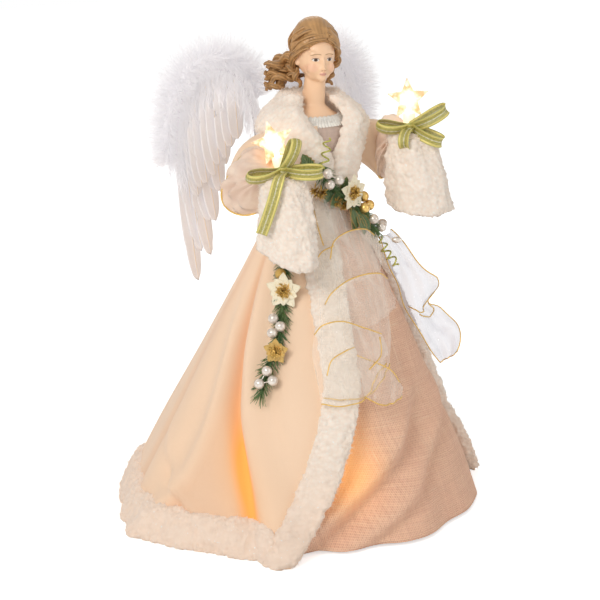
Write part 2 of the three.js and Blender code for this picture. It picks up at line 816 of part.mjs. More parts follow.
function cuffRing(rows, grow, u, v) {
  const place = v * (rows.length - 1);
  const k = Math.min(rows.length - 2, Math.floor(place));
  const row = rows[k].map((value, i) => mix(value, rows[k + 1][i], place - k));
  const turn = 2 * Math.PI * u;
  const [wide, deep] = [row[3] * arm.reach + grow, row[4] * arm.reach + grow];
  const forward = -Math.sin(turn);
  return armPlace(row).add(
    V(wide * Math.cos(turn), -deep * forward, -row[5] * arm.reach * forward),
  );
}

function cuffWall(side, grow = 0) {
  const rows = cuffShares[side.name];
  return solid(
    sleeveShell(
      12,
      rows.length - 1,
      (u, v) => cuffRing(rows, grow, u, v),
      (u, v) => cuffRing(rows, -fur.cuffThick - grow, u, v),
    ),
  );
}

function cuff(side) {
  return mainBody(cuffWall(side).subtract(solid(armWire(gap))));
}

// Candle, its lamp and its star
const leanWay = { out: 0.77, back: 0.64 };

function candleBase(side) {
  const place = armPlace(handShares[side.name]);
  return place.setZ(place.z - 0.6 * fist.radius);
}

// The candles lean back to the figure's right, about the middle of each.
function leaned(side, geometry) {
  const middle = candleBase(side).add(V(0, 0, candle.height / 2));
  const axis = up.clone().cross(V(-leanWay.out, leanWay.back, 0)).normalize();
  return geometry
    .translate(-middle.x, -middle.y, -middle.z)
    .applyMatrix4(new THREE.Matrix4().makeRotationAxis(axis, rad(candle.lean[side.name])))
    .translate(middle.x, middle.y, middle.z);
}

function pipe(outer, inner, height, columns) {
  return turned([[inner, 0], [outer, 0], [outer, height], [inner, height], [inner, 0]], columns);
}

function candleTube(side) {
  const base = candleBase(side);
  return leaned(side, pipe(candle.radius, candle.bore, candle.height, 14).translate(base.x, base.y, base.z));
}

function lampHolder(side) {
  const base = candleBase(side);
  const low = candle.height - holder.height - gap;
  const floor = holder.height - holder.depth;
  const body = turned(
    [
      [0, 0],
      [holder.radius, 0],
      [holder.radius, holder.height],
      [holder.bore, holder.height],
      [holder.bore, floor],
      [0, floor],
    ],
    12,
  );
  return leaned(side, body.translate(base.x, base.y, base.z + low));
}

function candleTop(side) {
  return candleBase(side).add(V(0, 0, candle.height));
}

function miniBulb(side) {
  const top = candleTop(side);
  const low = gap - holder.depth;
  const h = bulb.height;
  const body = turned(
    [
      [0, low],
      [bulb.radius, low],
      [bulb.radius, low + 0.8 * h],
      [0.75 * bulb.radius, low + 0.92 * h],
      [0, low + h],
    ],
    10,
  );
  return leaned(side, body.translate(top.x, top.y, top.z));
}

const starTurn = { right: 28, left: 40 };

function starCap(side) {
  const outline = new THREE.Shape();
  const inner = star.innerShare * star.radius;
  for (let i = 0; i < 10; i++) {
    const turn = Math.PI / 2 + (i * Math.PI) / 5;
    const r = i % 2 ? inner : star.radius;
    const [x, y] = [r * Math.cos(turn), r * Math.sin(turn)];
    if (i) outline.lineTo(x, y);
    else outline.moveTo(x, y);
  }
  const depth = star.thick - 2 * star.bevel;
  const body = new THREE.ExtrudeGeometry(outline, {
    depth,
    bevelEnabled: true,
    bevelThickness: star.bevel,
    bevelSize: star.bevel,
    bevelOffset: -star.bevel,
    bevelSegments: 1,
  }).translate(0, 0, -depth / 2);
  const rise = bulb.height + gap - holder.depth + gap;
  const notch = (star.radius * Math.cos(Math.PI / 5) - inner) / (star.radius * Math.sin(Math.PI / 5));
  const centre = inner + notch * (candle.radius + gap) + gap;
  const bore = new THREE.CylinderGeometry(star.bore, star.bore, rise + star.radius, 10)
    .translate(0, rise + gap - centre - (rise + star.radius) / 2, 0);
  const made = geometryOf(solid(body).subtract(solid(bore)));
  const top = candleTop(side);
  made.rotateX(Math.PI / 2).rotateZ(-rad(starTurn[side.name]));
  return leaned(side, made.translate(top.x, top.y, top.z + centre));
}

function hand(side) {
  const middle = armPlace(handShares[side.name]);
  const base = candleBase(side);
  const grip = new THREE.CylinderGeometry(candle.radius + gap, candle.radius + gap, 4 * fist.radius, 12)
    .rotateX(Math.PI / 2)
    .translate(base.x, base.y, base.z - gap + 2 * fist.radius);
  const palm = egg(middle, fist.radius, 1.15 * fist.radius, fist.radius, 8, 5);
  const gripped = solid(palm).subtract(solid(leaned(side, grip)));
  return mainBody(gripped.subtract(solid(armWire(gap))).subtract(cuffWall(side, gap)));
}

// Bow round the candle: a ring, two loops and two tails. Places are shares of a loop's length.
const bowShares = {
  right: [
    [
      [-0.08, -0.27, 0.06], [-0.35, -0.5, 0.3], [-0.9, -0.36, 0.3],
      [-1.05, -0.2, -0.02], [-0.5, -0.36, -0.16], [-0.08, -0.27, -0.06],
    ],
    [
      [0.08, -0.27, 0.06], [0.4, -0.55, 0.3], [0.85, -0.74, 0.34],
      [1, -0.7, 0.04], [0.55, -0.5, -0.14], [0.08, -0.27, -0.06],
    ],
    [[0.1, -0.3, 0.1], [0.45, -0.55, 0.45], [0.62, -0.6, 0.85], [0.85, -0.5, 1.05]],
  ],
  left: [
    [
      [-0.08, -0.27, 0.06], [-0.35, -0.42, 0.26], [-1, -0.1, 0.24],
      [-1.05, 0.1, 0.02], [-0.5, -0.2, -0.14], [-0.08, -0.27, -0.06],
    ],
    [
      [0.08, -0.27, 0.06], [0.5, -0.58, 0.36], [0.95, -0.84, 0.5],
      [1.05, -0.8, 0.2], [0.6, -0.5, -0.04], [0.08, -0.27, -0.06],
    ],
    [[0.05, -0.3, 0.04], [0.5, -0.66, -0.04], [0.85, -0.86, -0.02]],
  ],
};

function strip(points, width, thick, widthWay, steps) {
  const curve = curveThrough(points);
  const surface = (sign) => (u, v) => {
    const along = curve.getTangentAt(v);
    const wide = widthWay.clone().addScaledVector(along, -widthWay.dot(along)).normalize();
    const out = along.cross(wide).normalize();
    return curve
      .getPointAt(v)
      .addScaledVector(wide, (u - 0.5) * width)
      .addScaledVector(out, (sign * thick) / 2);
  };
  return sheet(1, steps, surface(1), surface(-1));
}

function bow(side) {
  const base = candleBase(side);
  const seat = armPlace(cuffShares[side.name][0]).z + 2 * gap;
  const ringTop = ribbon.width * 0.75;
  const middle = V(base.x, base.y, seat + 0.5 * ringTop);
  const ring = pipe(candle.radius + gap + 2 * ribbon.thick, candle.radius + gap, ringTop, 9);
  const pieces = [leaned(side, ring.translate(base.x, base.y, seat))];
  const place = ([x, y, z]) => middle.clone().add(V(x, y, z).multiplyScalar(ribbon.loop));
  const knot = place([0, -0.27, 0]);
  pieces.push(egg(knot, 0.5 * ribbon.width, 0.34 * ribbon.width, 0.5 * ribbon.width, 6, 4));
  const tilt = V(0.1, -0.4, 1).normalize();
  for (const route of bowShares[side.name]) {
    const looped = route.length > 4;
    const way = looped ? tilt : V(1, 0.2, 0);
    pieces.push(strip(route.map(place), ribbon.width, ribbon.thick, way, looped ? 5 : 3));
  }
  const clear = solid(candleTube(side).clone());
  const body = joined(pieces).subtract(clear);
  return mainBody(body.subtract(cuffGrown(side)));
}

function cuffGrown(side) {
  const rows = cuffShares[side.name];
  return solid(loft(12, rows.length - 1, (u, v) => cuffRing(rows, gap, u, v)));
}

// Wings: places are shares [out, height] of the wing's reach and height, outwards from the hinge
// and up from the lowest feather's tip.
const wingArmShares = [
  [0.07, 0.555],
  [0.13, 0.72],
  [0.28, 0.83],
  [0.5, 0.865],
  [0.72, 0.84],
  [0.88, 0.75],
  [0.94, 0.62],
  [0.94, 0.5],
];
// Long feathers: root, bend and tip.
const quillShares = [
  [[0.85, 0.68], [0.82, 0.5], [0.77, 0.3]],
  [[0.84, 0.74], [0.86, 0.4], [0.7, 0]],
  [[0.76, 0.79], [0.74, 0.44], [0.56, 0.1]],
  [[0.66, 0.82], [0.62, 0.5], [0.5, 0.24]],
  [[0.54, 0.83], [0.52, 0.56], [0.44, 0.36]],
  [[0.42, 0.82], [0.42, 0.62], [0.38, 0.47]],
  [[0.3, 0.8], [0.32, 0.68], [0.31, 0.56]],
];
const covertShares = [
  [[0.83, 0.7], [0.81, 0.56], [0.76, 0.42]],
  [[0.75, 0.78], [0.74, 0.6], [0.67, 0.44]],
  [[0.62, 0.82], [0.61, 0.64], [0.55, 0.5]],
  [[0.49, 0.84], [0.48, 0.7], [0.43, 0.57]],
  [[0.36, 0.82], [0.36, 0.72], [0.32, 0.62]],
];
const boaStartShare = 0.24;
const hingeShare = 0.545;
const wingBase = hingeHeight - hingeShare * wing.height; // of the longest feather's tip

function wingPlace(side, [out, height], back = 0) {
  return V(
    side.sign * (wing.hingeX + out * wing.reach),
    wing.back + out * wing.sweep + back,
    wingBase + height * wing.height,
  );
}

const wireLayer = wing.wire + 4 * gap;

function wingArm(side) {
  return curveThrough(wingArmShares.map((p) => wingPlace(side, p)));
}

function hingePlace(side) {
  return V(side.sign * wing.hingeX, wing.back, hingeHeight);
}

function wingFrame(side) {
  const start = wingPlace(side, wingArmShares[0]);
  const pivot = hingePlace(side);
  const wire = tube(wingArm(side), wing.wire, 5, 12);
  const eye = pipe(bracket.pin + gap + 1.4 * wing.wire, bracket.pin + gap, 3 * wing.wire, 8);
  eye.translate(pivot.x, pivot.y, pivot.z);
  const leg = pivot.clone().add(V(side.sign * (bracket.pin + gap + 0.7 * wing.wire), 0, 1.5 * wing.wire));
  const link = tube(new THREE.LineCurve3(leg, start.clone().add(V(0, 0, wing.wire))), 0.9 * wing.wire, 6, 1);
  const hole = new THREE.CylinderGeometry(bracket.pin + gap, bracket.pin + gap, 6 * wing.wire, 8)
    .rotateX(Math.PI / 2)
    .translate(pivot.x, pivot.y, pivot.z + 2 * wing.wire);
  return joined([wire, eye, link]).subtract(solid(hole));
}

// One feather: a cambered vane on a bent shaft, rounded at its tip.
function vane(side, [root, bend, tip], width, back, steps) {
  const curve = new THREE.QuadraticBezierCurve3(
    wingPlace(side, root, back),
    wingPlace(side, bend, back),
    wingPlace(side, tip, back),
  );
  const tilt = Math.sin(rad(feather.tilt)) * width * 0.5;
  const surface = (sign) => (u, v) => {
    const point = curve.getPointAt(v);
    const along = curve.getTangentAt(v);
    const across = V(along.z, 0, -along.x).normalize();
    const outline = 0.5 * width * Math.min(1, 0.35 + 2.2 * v) * Math.sqrt(Math.max(0.02, 1 - v ** 6));
    const s = 2 * u - 1;
    const camber = 0.4 * (1 - s * s) * feather.thick;
    point.addScaledVector(across, s * outline);
    const half = 0.5 * feather.thick * (1 - 0.4 * s * s);
    point.y += side.sign * s * tilt * Math.min(1, 2.5 * v) + sign * half - camber;
    return point;
  };
  return sheet(2, steps, surface(1), surface(-1));
}

function featherRow(side, shares, width, back, bandFrom, bandTo) {
  const arm = wingArm(side);
  const surface = (sign) => (u, v) => {
    const point = arm.getPointAt(mix(bandFrom, bandTo, v));
    const along = arm.getTangentAt(mix(bandFrom, bandTo, v));
    const down = V(side.sign * along.z, 0, -side.sign * along.x).normalize();
    point.addScaledVector(down, (u - 0.15) * feather.band);
    point.y += back + 0.5 * sign * feather.bandThick;
    return point;
  };
  const band = sheet(1, 7, surface(1), surface(-1));
  return mainBody(joined([band, ...shares.map((s) => vane(side, s, width, back, 3))]));
}

const bandLayer = wireLayer + 0.5 * feather.bandThick;

function quills(side) {
  return featherRow(side, quillShares, feather.width, bandLayer, 0.32, 0.86);
}

function coverts(side) {
  return featherRow(side, covertShares, feather.width, gap - bandLayer, 0.32, 0.84);
}

function marabou(side) {
  const arm = wingArm(side);
  const steps = 10;
  const route = [];
  for (let i = 0; i <= steps; i++) {
    const at = mix(boaStartShare, 1, i / steps);
    const along = arm.getTangentAt(at);
    const out = V(-side.sign * along.z, 0, side.sign * along.x).normalize();
    route.push(arm.getPointAt(at).addScaledVector(out, boa.radius + wing.wire + gap));
  }
  const curve = curveThrough(route);
  const frames = curve.computeFrenetFrames(steps, false);
  return loft(7, steps, (u, v) => {
    const k = Math.round(steps * v);
    const turn = 2 * Math.PI * u;
    const r = boa.radius * (k % 2 ? 1 : 0.84) * (v === 0 || v === 1 ? 0.6 : 1);
    return curve
      .getPointAt(v)
      .addScaledVector(frames.normals[k], r * Math.cos(turn))
      .addScaledVector(frames.binormals[k], r * Math.sin(turn));
  });
}

function wingBracket() {
  const pivot = hingePlace(sides[1]);
  const front = -waist.forward + figureAt(pivot.z, hem.radius).deep + robeOuter;
  const plateY = wing.back - bracket.pin - bracket.boss - gap;
  const plate = new THREE.BoxGeometry(bracket.width, bracket.thick, bracket.height)
    .translate(0, plateY, pivot.z + 1.5 * wing.wire);
  const spacer = new THREE.CylinderGeometry(bracket.boss, bracket.boss, plateY - front + sunk, 12)
    .translate(0, (plateY + front - sunk) / 2, pivot.z + 1.5 * wing.wire);
  const pieces = [plate, spacer];
  for (const side of sides) {
    const p = hingePlace(side);
    pieces.push(
      new THREE.CylinderGeometry(bracket.pin, bracket.pin, bracket.pinHeight, 12)
        .rotateX(Math.PI / 2)
        .translate(p.x, p.y, p.z + 1.5 * wing.wire),
    );
    for (const end of [-1, 1]) {
      const lugZ = p.z + 1.5 * wing.wire + end * (bracket.pinHeight / 2 - bracket.thick / 2);
      const deep = p.y + bracket.pin + bracket.thick - plateY;
      pieces.push(
        new THREE.BoxGeometry(bracket.boss + bracket.pin, deep, bracket.thick)
          .translate(p.x, plateY + deep / 2, lugZ),
      );
    }
  }
  return joined(pieces).subtract(figureSolid(robeOuter + gap));
}

// Garland. Its waist stem lies on collar and organza at [angle, height share of its length above
// the waist]; its drop stem lies on the robe at [angle, height share of the waist].
const stemShares = [
  [-27, 0.33],
  [-22, 0.22],
  [-12, 0.1],
  [3, 0.03],
  [16, -0.03],
  [27, -0.14],
  [35, -0.25],
  [40, -0.32],
];
const dropShares = [
  [-66, 0.93],
  [-64, 0.87],
  [-63, 0.8],
  [-59, 0.7],
  [-58, 0.6],
  [-61, 0.52],
  [-62, 0.46],
];

const dropPoints = 18; // on the robe, where the drop stem is held to it
const waistLift = fur.collarThick + 3 * gap + garland.stem;

function atWaist([angle, share], out = 0) {
  return onFigure(angle, waist.height + share * garland.reach, robeOuter + waistLift + out);
}

// A place by one end of the waist stem.
function stemEndPlace(end, [x, y, z]) {
  return atWaist(end).add(V(x, y, z).multiplyScalar(garland.reach));
}

function onRobe(angle, share, off) {
  const z = share * waist.height;
  return onFigure(angle, z, robeOuter + off, hem.radius, Math.max(0, robeFold(angle, z)));
}

function stemCurve(kind) {
  if (kind === "waist") return curveThrough(stemShares.map((s) => atWaist(s)));
  const route = curveThrough(dropShares.map(([a, s]) => V(a, s * waist.height, 0)));
  const lift = garland.robeGap + garland.stem;
  return curveThrough(route.getPoints(dropPoints).map((p) => onRobe(p.x, p.y / waist.height, lift)));
}

function outwards(point) {
  return V(point.x, point.y + waist.forward, 0).normalize();
}

// A spray: needles stand out of the stem on both sides, flat over the cloth.
function spray(kind, pairs, from, to) {
  const curve = stemCurve(kind);
  const pieces = [tube(curve, garland.stem, 5, kind === "waist" ? 10 : 14)];
  for (let i = 0; i < pairs; i++) {
    const at = mix(from, to, i / (pairs - 1));
    const root = curve.getPointAt(at);
    const along = curve.getTangentAt(at);
    const out = outwards(root);
    const across = along.clone().cross(out).normalize();
    for (const way of [-1, 1]) {
      const lean = 0.75 + 0.2 * Math.sin(2.4 * i + way);
      const raise = 0.03 + 0.03 * Math.cos(1.7 * i * way);
      const heading = across.clone().multiplyScalar(way);
      heading.addScaledVector(along, lean).addScaledVector(out, raise);
      const length = garland.needle * (0.86 + 0.14 * Math.sin(3.1 * i));
      pieces.push(needle(root, heading.normalize(), length));
    }
  }
  return joined(pieces);
}

function needle(root, heading, length) {
  const spike = new THREE.ConeGeometry(0.5 * garland.needleThick, length, 3).translate(0, length / 2, 0);
  const turn = new THREE.Quaternion().setFromUnitVectors(V(0, 1, 0), heading);
  return spike.applyMatrix4(new THREE.Matrix4().compose(root, turn, V(1, 1, 1)));
}

// A bead cluster: beads threaded on one thin wire.
function beads(places, radius, detail) {
  const pieces = places.map((p) => ball(radius, p, detail));
  for (let i = 1; i < places.length; i++)
    pieces.push(tube(new THREE.LineCurve3(places[i - 1], places[i]), pearl.wire, 3, 1));
  return joined(pieces);
}

const beadLift = garland.stem + gap + 0.3 * garland.needleThick;
const waistPearlShares = [
  [-21.8, 0.249],
  [-9.9, 0.191],
  [-19.6, 0.161],
];
const sidePearlShares = [
  [30, -0.167],
  [39, -0.245],
  [49, -0.24],
];
const berryShares = [
  [32, 0.01],
  [23, -0.068],
  [36, -0.065],
];

function beadsAt(shares, radius) {
  return shares.map((s) => atWaist(s, beadLift + radius));
}

const dropPearlShares = {
  upper: [
    [-62, 0.675],
    [-57, 0.655],
    [-61, 0.635],
  ],
  lower: [
    [-60, 0.53],
    [-62.5, 0.493],
    [-56.5, 0.505],
  ],
};

function dropBeads(shares, radius) {
  return shares.map(([a, s]) => onRobe(a, s, garland.robeGap + garland.stem + beadLift + radius));
}

// A silk poinsettia: pointed petals round a cluster of beads.
function poinsettia(centre, out, petals, size) {
  const across = up.clone().cross(out).normalize();
  const rise = out.clone().cross(across).normalize();
  const pieces = [ball(flower.centre, centre, 0)];
  for (let i = 0; i < petals; i++) {
    const turn = (2 * Math.PI * (i + 0.25)) / petals;
    const heading = across.clone().multiplyScalar(Math.cos(turn)).addScaledVector(rise, Math.sin(turn));
    const wide = out.clone().cross(heading).normalize();
    const surface = (sign) => (u, v) => {
      const bulge = Math.sin(Math.PI * Math.min(1, 0.18 + 0.82 * v)) ** 0.8;
      const s = 2 * u - 1;
      const lift = size * (0.16 * v - 0.1 * v * v + 0.1 * (i % 2) * v);
      const face = (0.5 * sign + s * s - 0.5) * flower.petalThick;
      return centre
        .clone()
        .addScaledVector(heading, size * v)
        .addScaledVector(wide, 0.5 * flower.petalWidth * s * Math.max(0.06, bulge))
        .addScaledVector(out, lift + face);
    };
    pieces.push(sheet(2, 2, surface(1), surface(-1)));
  }
  return joined(pieces);
}

const waistFlowerShare = [7.4, 0.074];
const dropFlowerShares = { upper: [-58.2, 0.755], lower: [-57, 0.587] };
const flowerLift = garland.stem + gap + flower.centre;

function dropFlower(key, petals, size) {
  const [angle, share] = dropFlowerShares[key];
  const centre = onRobe(angle, share, garland.robeGap + garland.stem + flowerLift);
  return poinsettia(centre, outwards(centre), petals, size);
}

function waistFlower() {
  const centre = atWaist(waistFlowerShare, flowerLift);
  return poinsettia(centre, outwards(centre), 5, flower.radius);
}

function goldBall() {
  return beads(dropBeads([[-63, 0.8], [-60, 0.845]], berry.radius), berry.radius, 1);
}

// Leaves stand out of one short twig.
const leafShares = [
  [[9, -0.07], [2, -0.22]],
  [[14, -0.1], [13, -0.27]],
  [[19, -0.11], [23, -0.25]],
];

function leaves() {
  const roots = leafShares.map(([root]) => atWaist(root, beadLift));
  const twig = tube(curveThrough(roots), garland.needleThick, 5, 6);
  const pieces = [twig];
  for (const [root, tip] of leafShares) {
    const [from, to] = [atWaist(root, beadLift), atWaist(tip, beadLift)];
    const along = to.clone().sub(from).normalize();
    const out = outwards(from);
    const wide = along.clone().cross(out).normalize();
    const length = from.distanceTo(to);
    const surface = (sign) => (u, v) => {
      const s = 2 * u - 1;
      const bulge = Math.max(0.08, Math.sin(Math.PI * Math.min(1, 0.1 + 0.9 * v)));
      return from
        .clone()
        .addScaledVector(along, length * v)
        .addScaledVector(wide, 0.22 * length * s * bulge)
        .addScaledVector(out, 0.5 * sign * flower.petalThick + 0.06 * length * (s * s - v));
    };
    pieces.push(sheet(2, 2, surface(1), surface(-1)));
  }
  return joined(pieces);
}

// Tendrils: one wire wound into an open coil.
class CoilCurve extends THREE.Curve {
  constructor(axis, radius, turns) {
    super();
    Object.assign(this, { axis, radius, turns });
  }
  getPoint(t) {
    const middle = this.axis.getPoint(t);
    const along = this.axis.getTangent(t);
    const a = V(1, 0, 0).addScaledVector(along, -along.x).normalize();
    const b = along.clone().cross(a);
    const turn = 2 * Math.PI * this.turns * t;
    const r = this.radius * Math.min(1, 6 * t, 6 * (1 - t) + 0.4);
    return middle.addScaledVector(a, r * Math.cos(turn)).addScaledVector(b, r * Math.sin(turn));
  }
}

// Tendrils start beside an end of the waist stem; places are shares of the garland's reach from it.
const tendrilShares = {
  top: [[0.003, -0.041, -0.04], [0.029, -0.033, 0.07], [0.059, -0.028, 0.2]],
  side: [[0.007, -0.011, -0.005], [0.037, -0.057, -0.14], [0.117, -0.107, -0.25]],
};

function tendrilCurve(key) {
  const end = key === "top" ? stemShares[0] : stemShares[stemShares.length - 1];
  const axis = curveThrough(tendrilShares[key].map((s) => stemEndPlace(end, s)));
  const turns = Math.floor(axis.getLength() / tendril.pitch);
  return new CoilCurve(axis, tendril.coil, turns);
}

// The least distance between two places on a coil that are half a turn or more apart, less the wire.
function leastGap(curve) {
  const each = 16;
  const points = curve.getPoints(each * curve.turns);
  let least = Infinity;
  points.forEach((p, i) => {
    for (let j = i + each / 2; j < points.length; j++) least = Math.min(least, p.distanceTo(points[j]));
  });
  return least - 2 * tendril.wire;
}

function tendrilWire(key) {
  const curve = tendrilCurve(key);
  console.log("tendril " + key + ": least gap to itself " + leastGap(curve).toFixed(2) + " mm");
  const steps = 8 * curve.turns;
  const frames = curve.computeFrenetFrames(steps, false);
  return loft(5, steps, (u, v) => {
    const k = Math.round(steps * v);
    const turn = 2 * Math.PI * u;
    return curve
      .getPoint(v)
      .addScaledVector(frames.normals[k], tendril.wire * Math.cos(turn))
      .addScaledVector(frames.binormals[k], tendril.wire * Math.sin(turn));
  });
}

// Organza: a rippled fall in front, and a tail that swings clear of the skirt at the side.
const organzaAngles = { topRight: -34, topLeft: 26, bottomRight: -33, bottomLeft: 5 };

function organzaFront() {
  const surface = (sign) => (u, v) => {
    const z = mix(organza.bottom, waist.height - 2 * overrun, v);
    const from = mix(organzaAngles.bottomRight, organzaAngles.topRight, v);
    const to = mix(organzaAngles.bottomLeft, organzaAngles.topLeft, v) + 6 * Math.sin(3 * Math.PI * v);
    const angle = mix(from, to, u);
    const ripple = organza.wave * (1 - v) * (1 + Math.sin(2 * Math.PI * (2.5 * u + 1.2 * v)));
    const off = robeOuter + fur.thick + 2 * gap + 0.5 * sign * cloth.organza;
    return onFigure(angle, z, off, hem.radius, ripple);
  };
  return sheet(13, 7, surface(1), surface(-1));
}

// The tail hangs from the left end of the waist stem; shares of the garland's reach from there.
const tailShares = [
  [0.015, 0.013, -0.012],
  [0.107, 0.013, -0.2],
  [0.207, -0.007, -0.44],
  [0.287, -0.047, -0.68],
  [0.397, -0.127, -0.92],
  [0.497, -0.237, -1.12],
];

function organzaSide() {
  const places = tailShares.map((s) => stemEndPlace(stemShares[stemShares.length - 1], s));
  const way = V(0.86, -0.5, 0.35);
  const curve = curveThrough(places);
  const surface = (sign) => (u, v) => {
    const along = curve.getTangentAt(v);
    const wide = way.clone().addScaledVector(along, -way.dot(along)).normalize();
    const out = along.cross(wide).normalize();
    const width = organza.tailWidth * (0.35 + 0.65 * Math.min(1, 2.5 * v));
    const ripple = organza.wave * Math.sin(2 * Math.PI * (1.5 * v + u));
    return curve
      .getPointAt(v)
      .addScaledVector(wide, u * width)
      .addScaledVector(out, ripple + 0.5 * sign * cloth.organza);
  };
  return sheet(4, 12, surface(1), surface(-1));
}

// The pieces, from the inside out
add("tree_cone", treeCone(), "card");
add("cone_cap", coneCapRing(), "plastic");
add("light_wire", lightWire(), "cable");
lampShares.forEach(([angle, share], i) => add("skirt_lamp_" + (i + 1), skirtLamp(angle, share), "bulb"));
add("torso_form", torsoForm(), "card");
add("arm_wire", armWire(), "steel");
add("head_bust", headBust().subtract(solid(armWire(gap))), "resin");
add("hair", hair(), "hair");
add("bodice", bodiceShell(), "taupeLinen");
add("neckline_lace", laceBand(), "lace");
add("underskirt", underSkirt(), "pinkLinen");
add("robe", robeShell().subtract(solid(armWire(gap))), "ivoryCloth");
add("hem_fur", hemFur(), "sherpa");
for (const side of sides) add("front_fur_" + side.name, frontFur(side), "sherpa");
add("fur_collar", furCollar(), "sherpa");
for (const side of sides) {
  const { name } = side;
  add("sleeve_" + name, sleeve(side), "ivoryCloth");
  add("cuff_" + name, cuff(side), "sherpa");
  add("hand_" + name, hand(side), "resin");
  add("candle_" + name, candleTube(side), "candle");
  add("lamp_holder_" + name, lampHolder(side), "plastic");
  add("bulb_" + name, miniBulb(side), "bulb");
  add("star_" + name, starCap(side), "star");
  add("bow_" + name, bow(side), "ribbon");
}
add("wing_bracket", wingBracket(), "steel");
for (const side of sides) {
  const { name } = side;
  add("wing_frame_" + name, wingFrame(side), "steel");
  add("quills_" + name, quills(side), "feather");
  add("coverts_" + name, coverts(side), "feather");
  add("marabou_" + name, marabou(side), "feather");
}
add("garland_waist_stem", spray("waist", 9, 0.04, 0.86), "pine");
add("garland_drop_stem", spray("drop", 19, 0.08, 1), "pine");
add("pearls_waist", beads(beadsAt(waistPearlShares, pearl.radius), pearl.radius, 1), "pearl");
add("pearls_side", beads(beadsAt(sidePearlShares, pearl.radius), pearl.radius, 1), "pearl");
add("pearls_drop_upper", beads(dropBeads(dropPearlShares.upper, pearl.radius), pearl.radius, 1), "pearl");
add("pearls_drop_lower", beads(dropBeads(dropPearlShares.lower, pearl.radius), pearl.radius, 1), "pearl");
add("gold_berries_waist", beads(beadsAt(berryShares, berry.radius), berry.radius, 1), "gold");
add("gold_ball_drop", goldBall(), "gold");
add("flower_waist", waistFlower(), "petal");
add("flower_drop_upper", dropFlower("upper", 5, flower.radius), "petal");
add("flower_drop_lower", dropFlower("lower", 5, 0.7 * flower.radius), "gold");
add("leaves_waist", leaves(), "leaf");
add("tendril_top", tendrilWire("top"), "leaf");
add("tendril_side", tendrilWire("side"), "leaf");
add("organza_front", organzaFront(), "organza");
add("organza_side", organzaSide(), "organza");

export default topper;
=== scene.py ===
"""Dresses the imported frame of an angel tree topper: cloth, pile, feathers, garland, paint and light.

Shapes are worked out in millimetres and become metres when a piece is finished. Angles round the
figure are in degrees from its front, positive towards its left hand.
"""

import math
import random
from functools import partial

import bmesh
import bpy
from bpy.props import FloatProperty, FloatVectorProperty, IntProperty, PointerProperty
from mathutils import Matrix, Vector, noise


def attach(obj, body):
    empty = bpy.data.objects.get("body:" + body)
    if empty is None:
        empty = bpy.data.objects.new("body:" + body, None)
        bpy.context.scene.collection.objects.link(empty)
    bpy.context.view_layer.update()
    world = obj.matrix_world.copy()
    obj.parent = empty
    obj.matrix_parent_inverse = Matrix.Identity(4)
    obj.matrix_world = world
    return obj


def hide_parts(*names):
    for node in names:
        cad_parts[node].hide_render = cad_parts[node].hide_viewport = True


bl_info = {
    "name": "Angel Tree Topper",
    "version": (1, 0, 0),
    "blender": (4, 5, 0),
    "location": "View3D > Sidebar > Topper",
    "description": "Dresses an angel tree topper in cloth, pile, feathers and a garland",
    "category": "Add Mesh",
}

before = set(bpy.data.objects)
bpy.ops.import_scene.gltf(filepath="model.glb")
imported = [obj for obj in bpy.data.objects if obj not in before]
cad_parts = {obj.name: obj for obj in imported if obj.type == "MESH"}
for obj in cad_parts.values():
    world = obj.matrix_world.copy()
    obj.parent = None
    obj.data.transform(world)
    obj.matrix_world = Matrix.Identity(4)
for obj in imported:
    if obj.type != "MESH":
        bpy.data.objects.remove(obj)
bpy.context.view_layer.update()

MM = 0.001
SIDES = {"right": -1, "left": 1}


# Numbers and curves


def lerp(a, b, t):
    return a + (b - a) * t


def clamp(x, low=0.0, high=1.0):
    return min(high, max(low, x))


def bump(x, middle, width):
    return math.exp(-(((x - middle) / width) ** 2))


def arch(t):
    """0 at 0 and at 1, and 1 halfway between."""
    return math.sin(math.pi * t)


def wave(turns):
    return math.sin(math.tau * turns)


def rumple(x, y, z):
    """Soft unevenness, the same wherever the place is the same."""
    return noise.noise(Vector((x, y, z)))


def up(height):
    return Vector((0, 0, height))


def stray(rng):
    return Vector([rng.uniform(-1, 1) for _ in range(3)])


def polar(angle, wide=1.0, deep=None):
    turn = math.radians(angle)
    return wide * math.cos(turn), (wide if deep is None else deep) * math.sin(turn)


def row_at(count, share):
    """The stop that a share along a row of stops comes after, and how far on from it."""
    place = clamp(share) * (count - 1)
    k = min(count - 2, int(place))
    return k, place - k


def along_rows(rows, v):
    """The row at share v of a table, worked out between its neighbours."""
    k, mix = row_at(len(rows), v)
    return [lerp(a, b, mix) for a, b in zip(rows[k], rows[k + 1])]


def knot_step(a, b):
    return max((b - a).length ** 0.5, 1e-4)


def smooth_points(points, each=16):
    """Points on a smooth curve through the given ones, spaced by their distances."""
    ends = [2 * points[0] - points[1], *points, 2 * points[-1] - points[-2]]
    out = [points[0].copy()]
    for a, b, c, d in zip(ends, ends[1:], ends[2:], ends[3:]):
        s0, s1, s2 = knot_step(a, b), knot_step(b, c), knot_step(c, d)
        m1 = ((b - a) / s0 - (c - a) / (s0 + s1) + (c - b) / s1) * s1
        m2 = ((c - b) / s1 - (d - b) / (s1 + s2) + (d - c) / s2) * s1
        for i in range(1, each + 1):
            t = i / each
            cubic = b * (2 * t**3 - 3 * t**2 + 1) + m1 * (t**3 - 2 * t**2 + t)
            out.append(cubic + c * (3 * t**2 - 2 * t**3) + m2 * (t**3 - t**2))
    return out


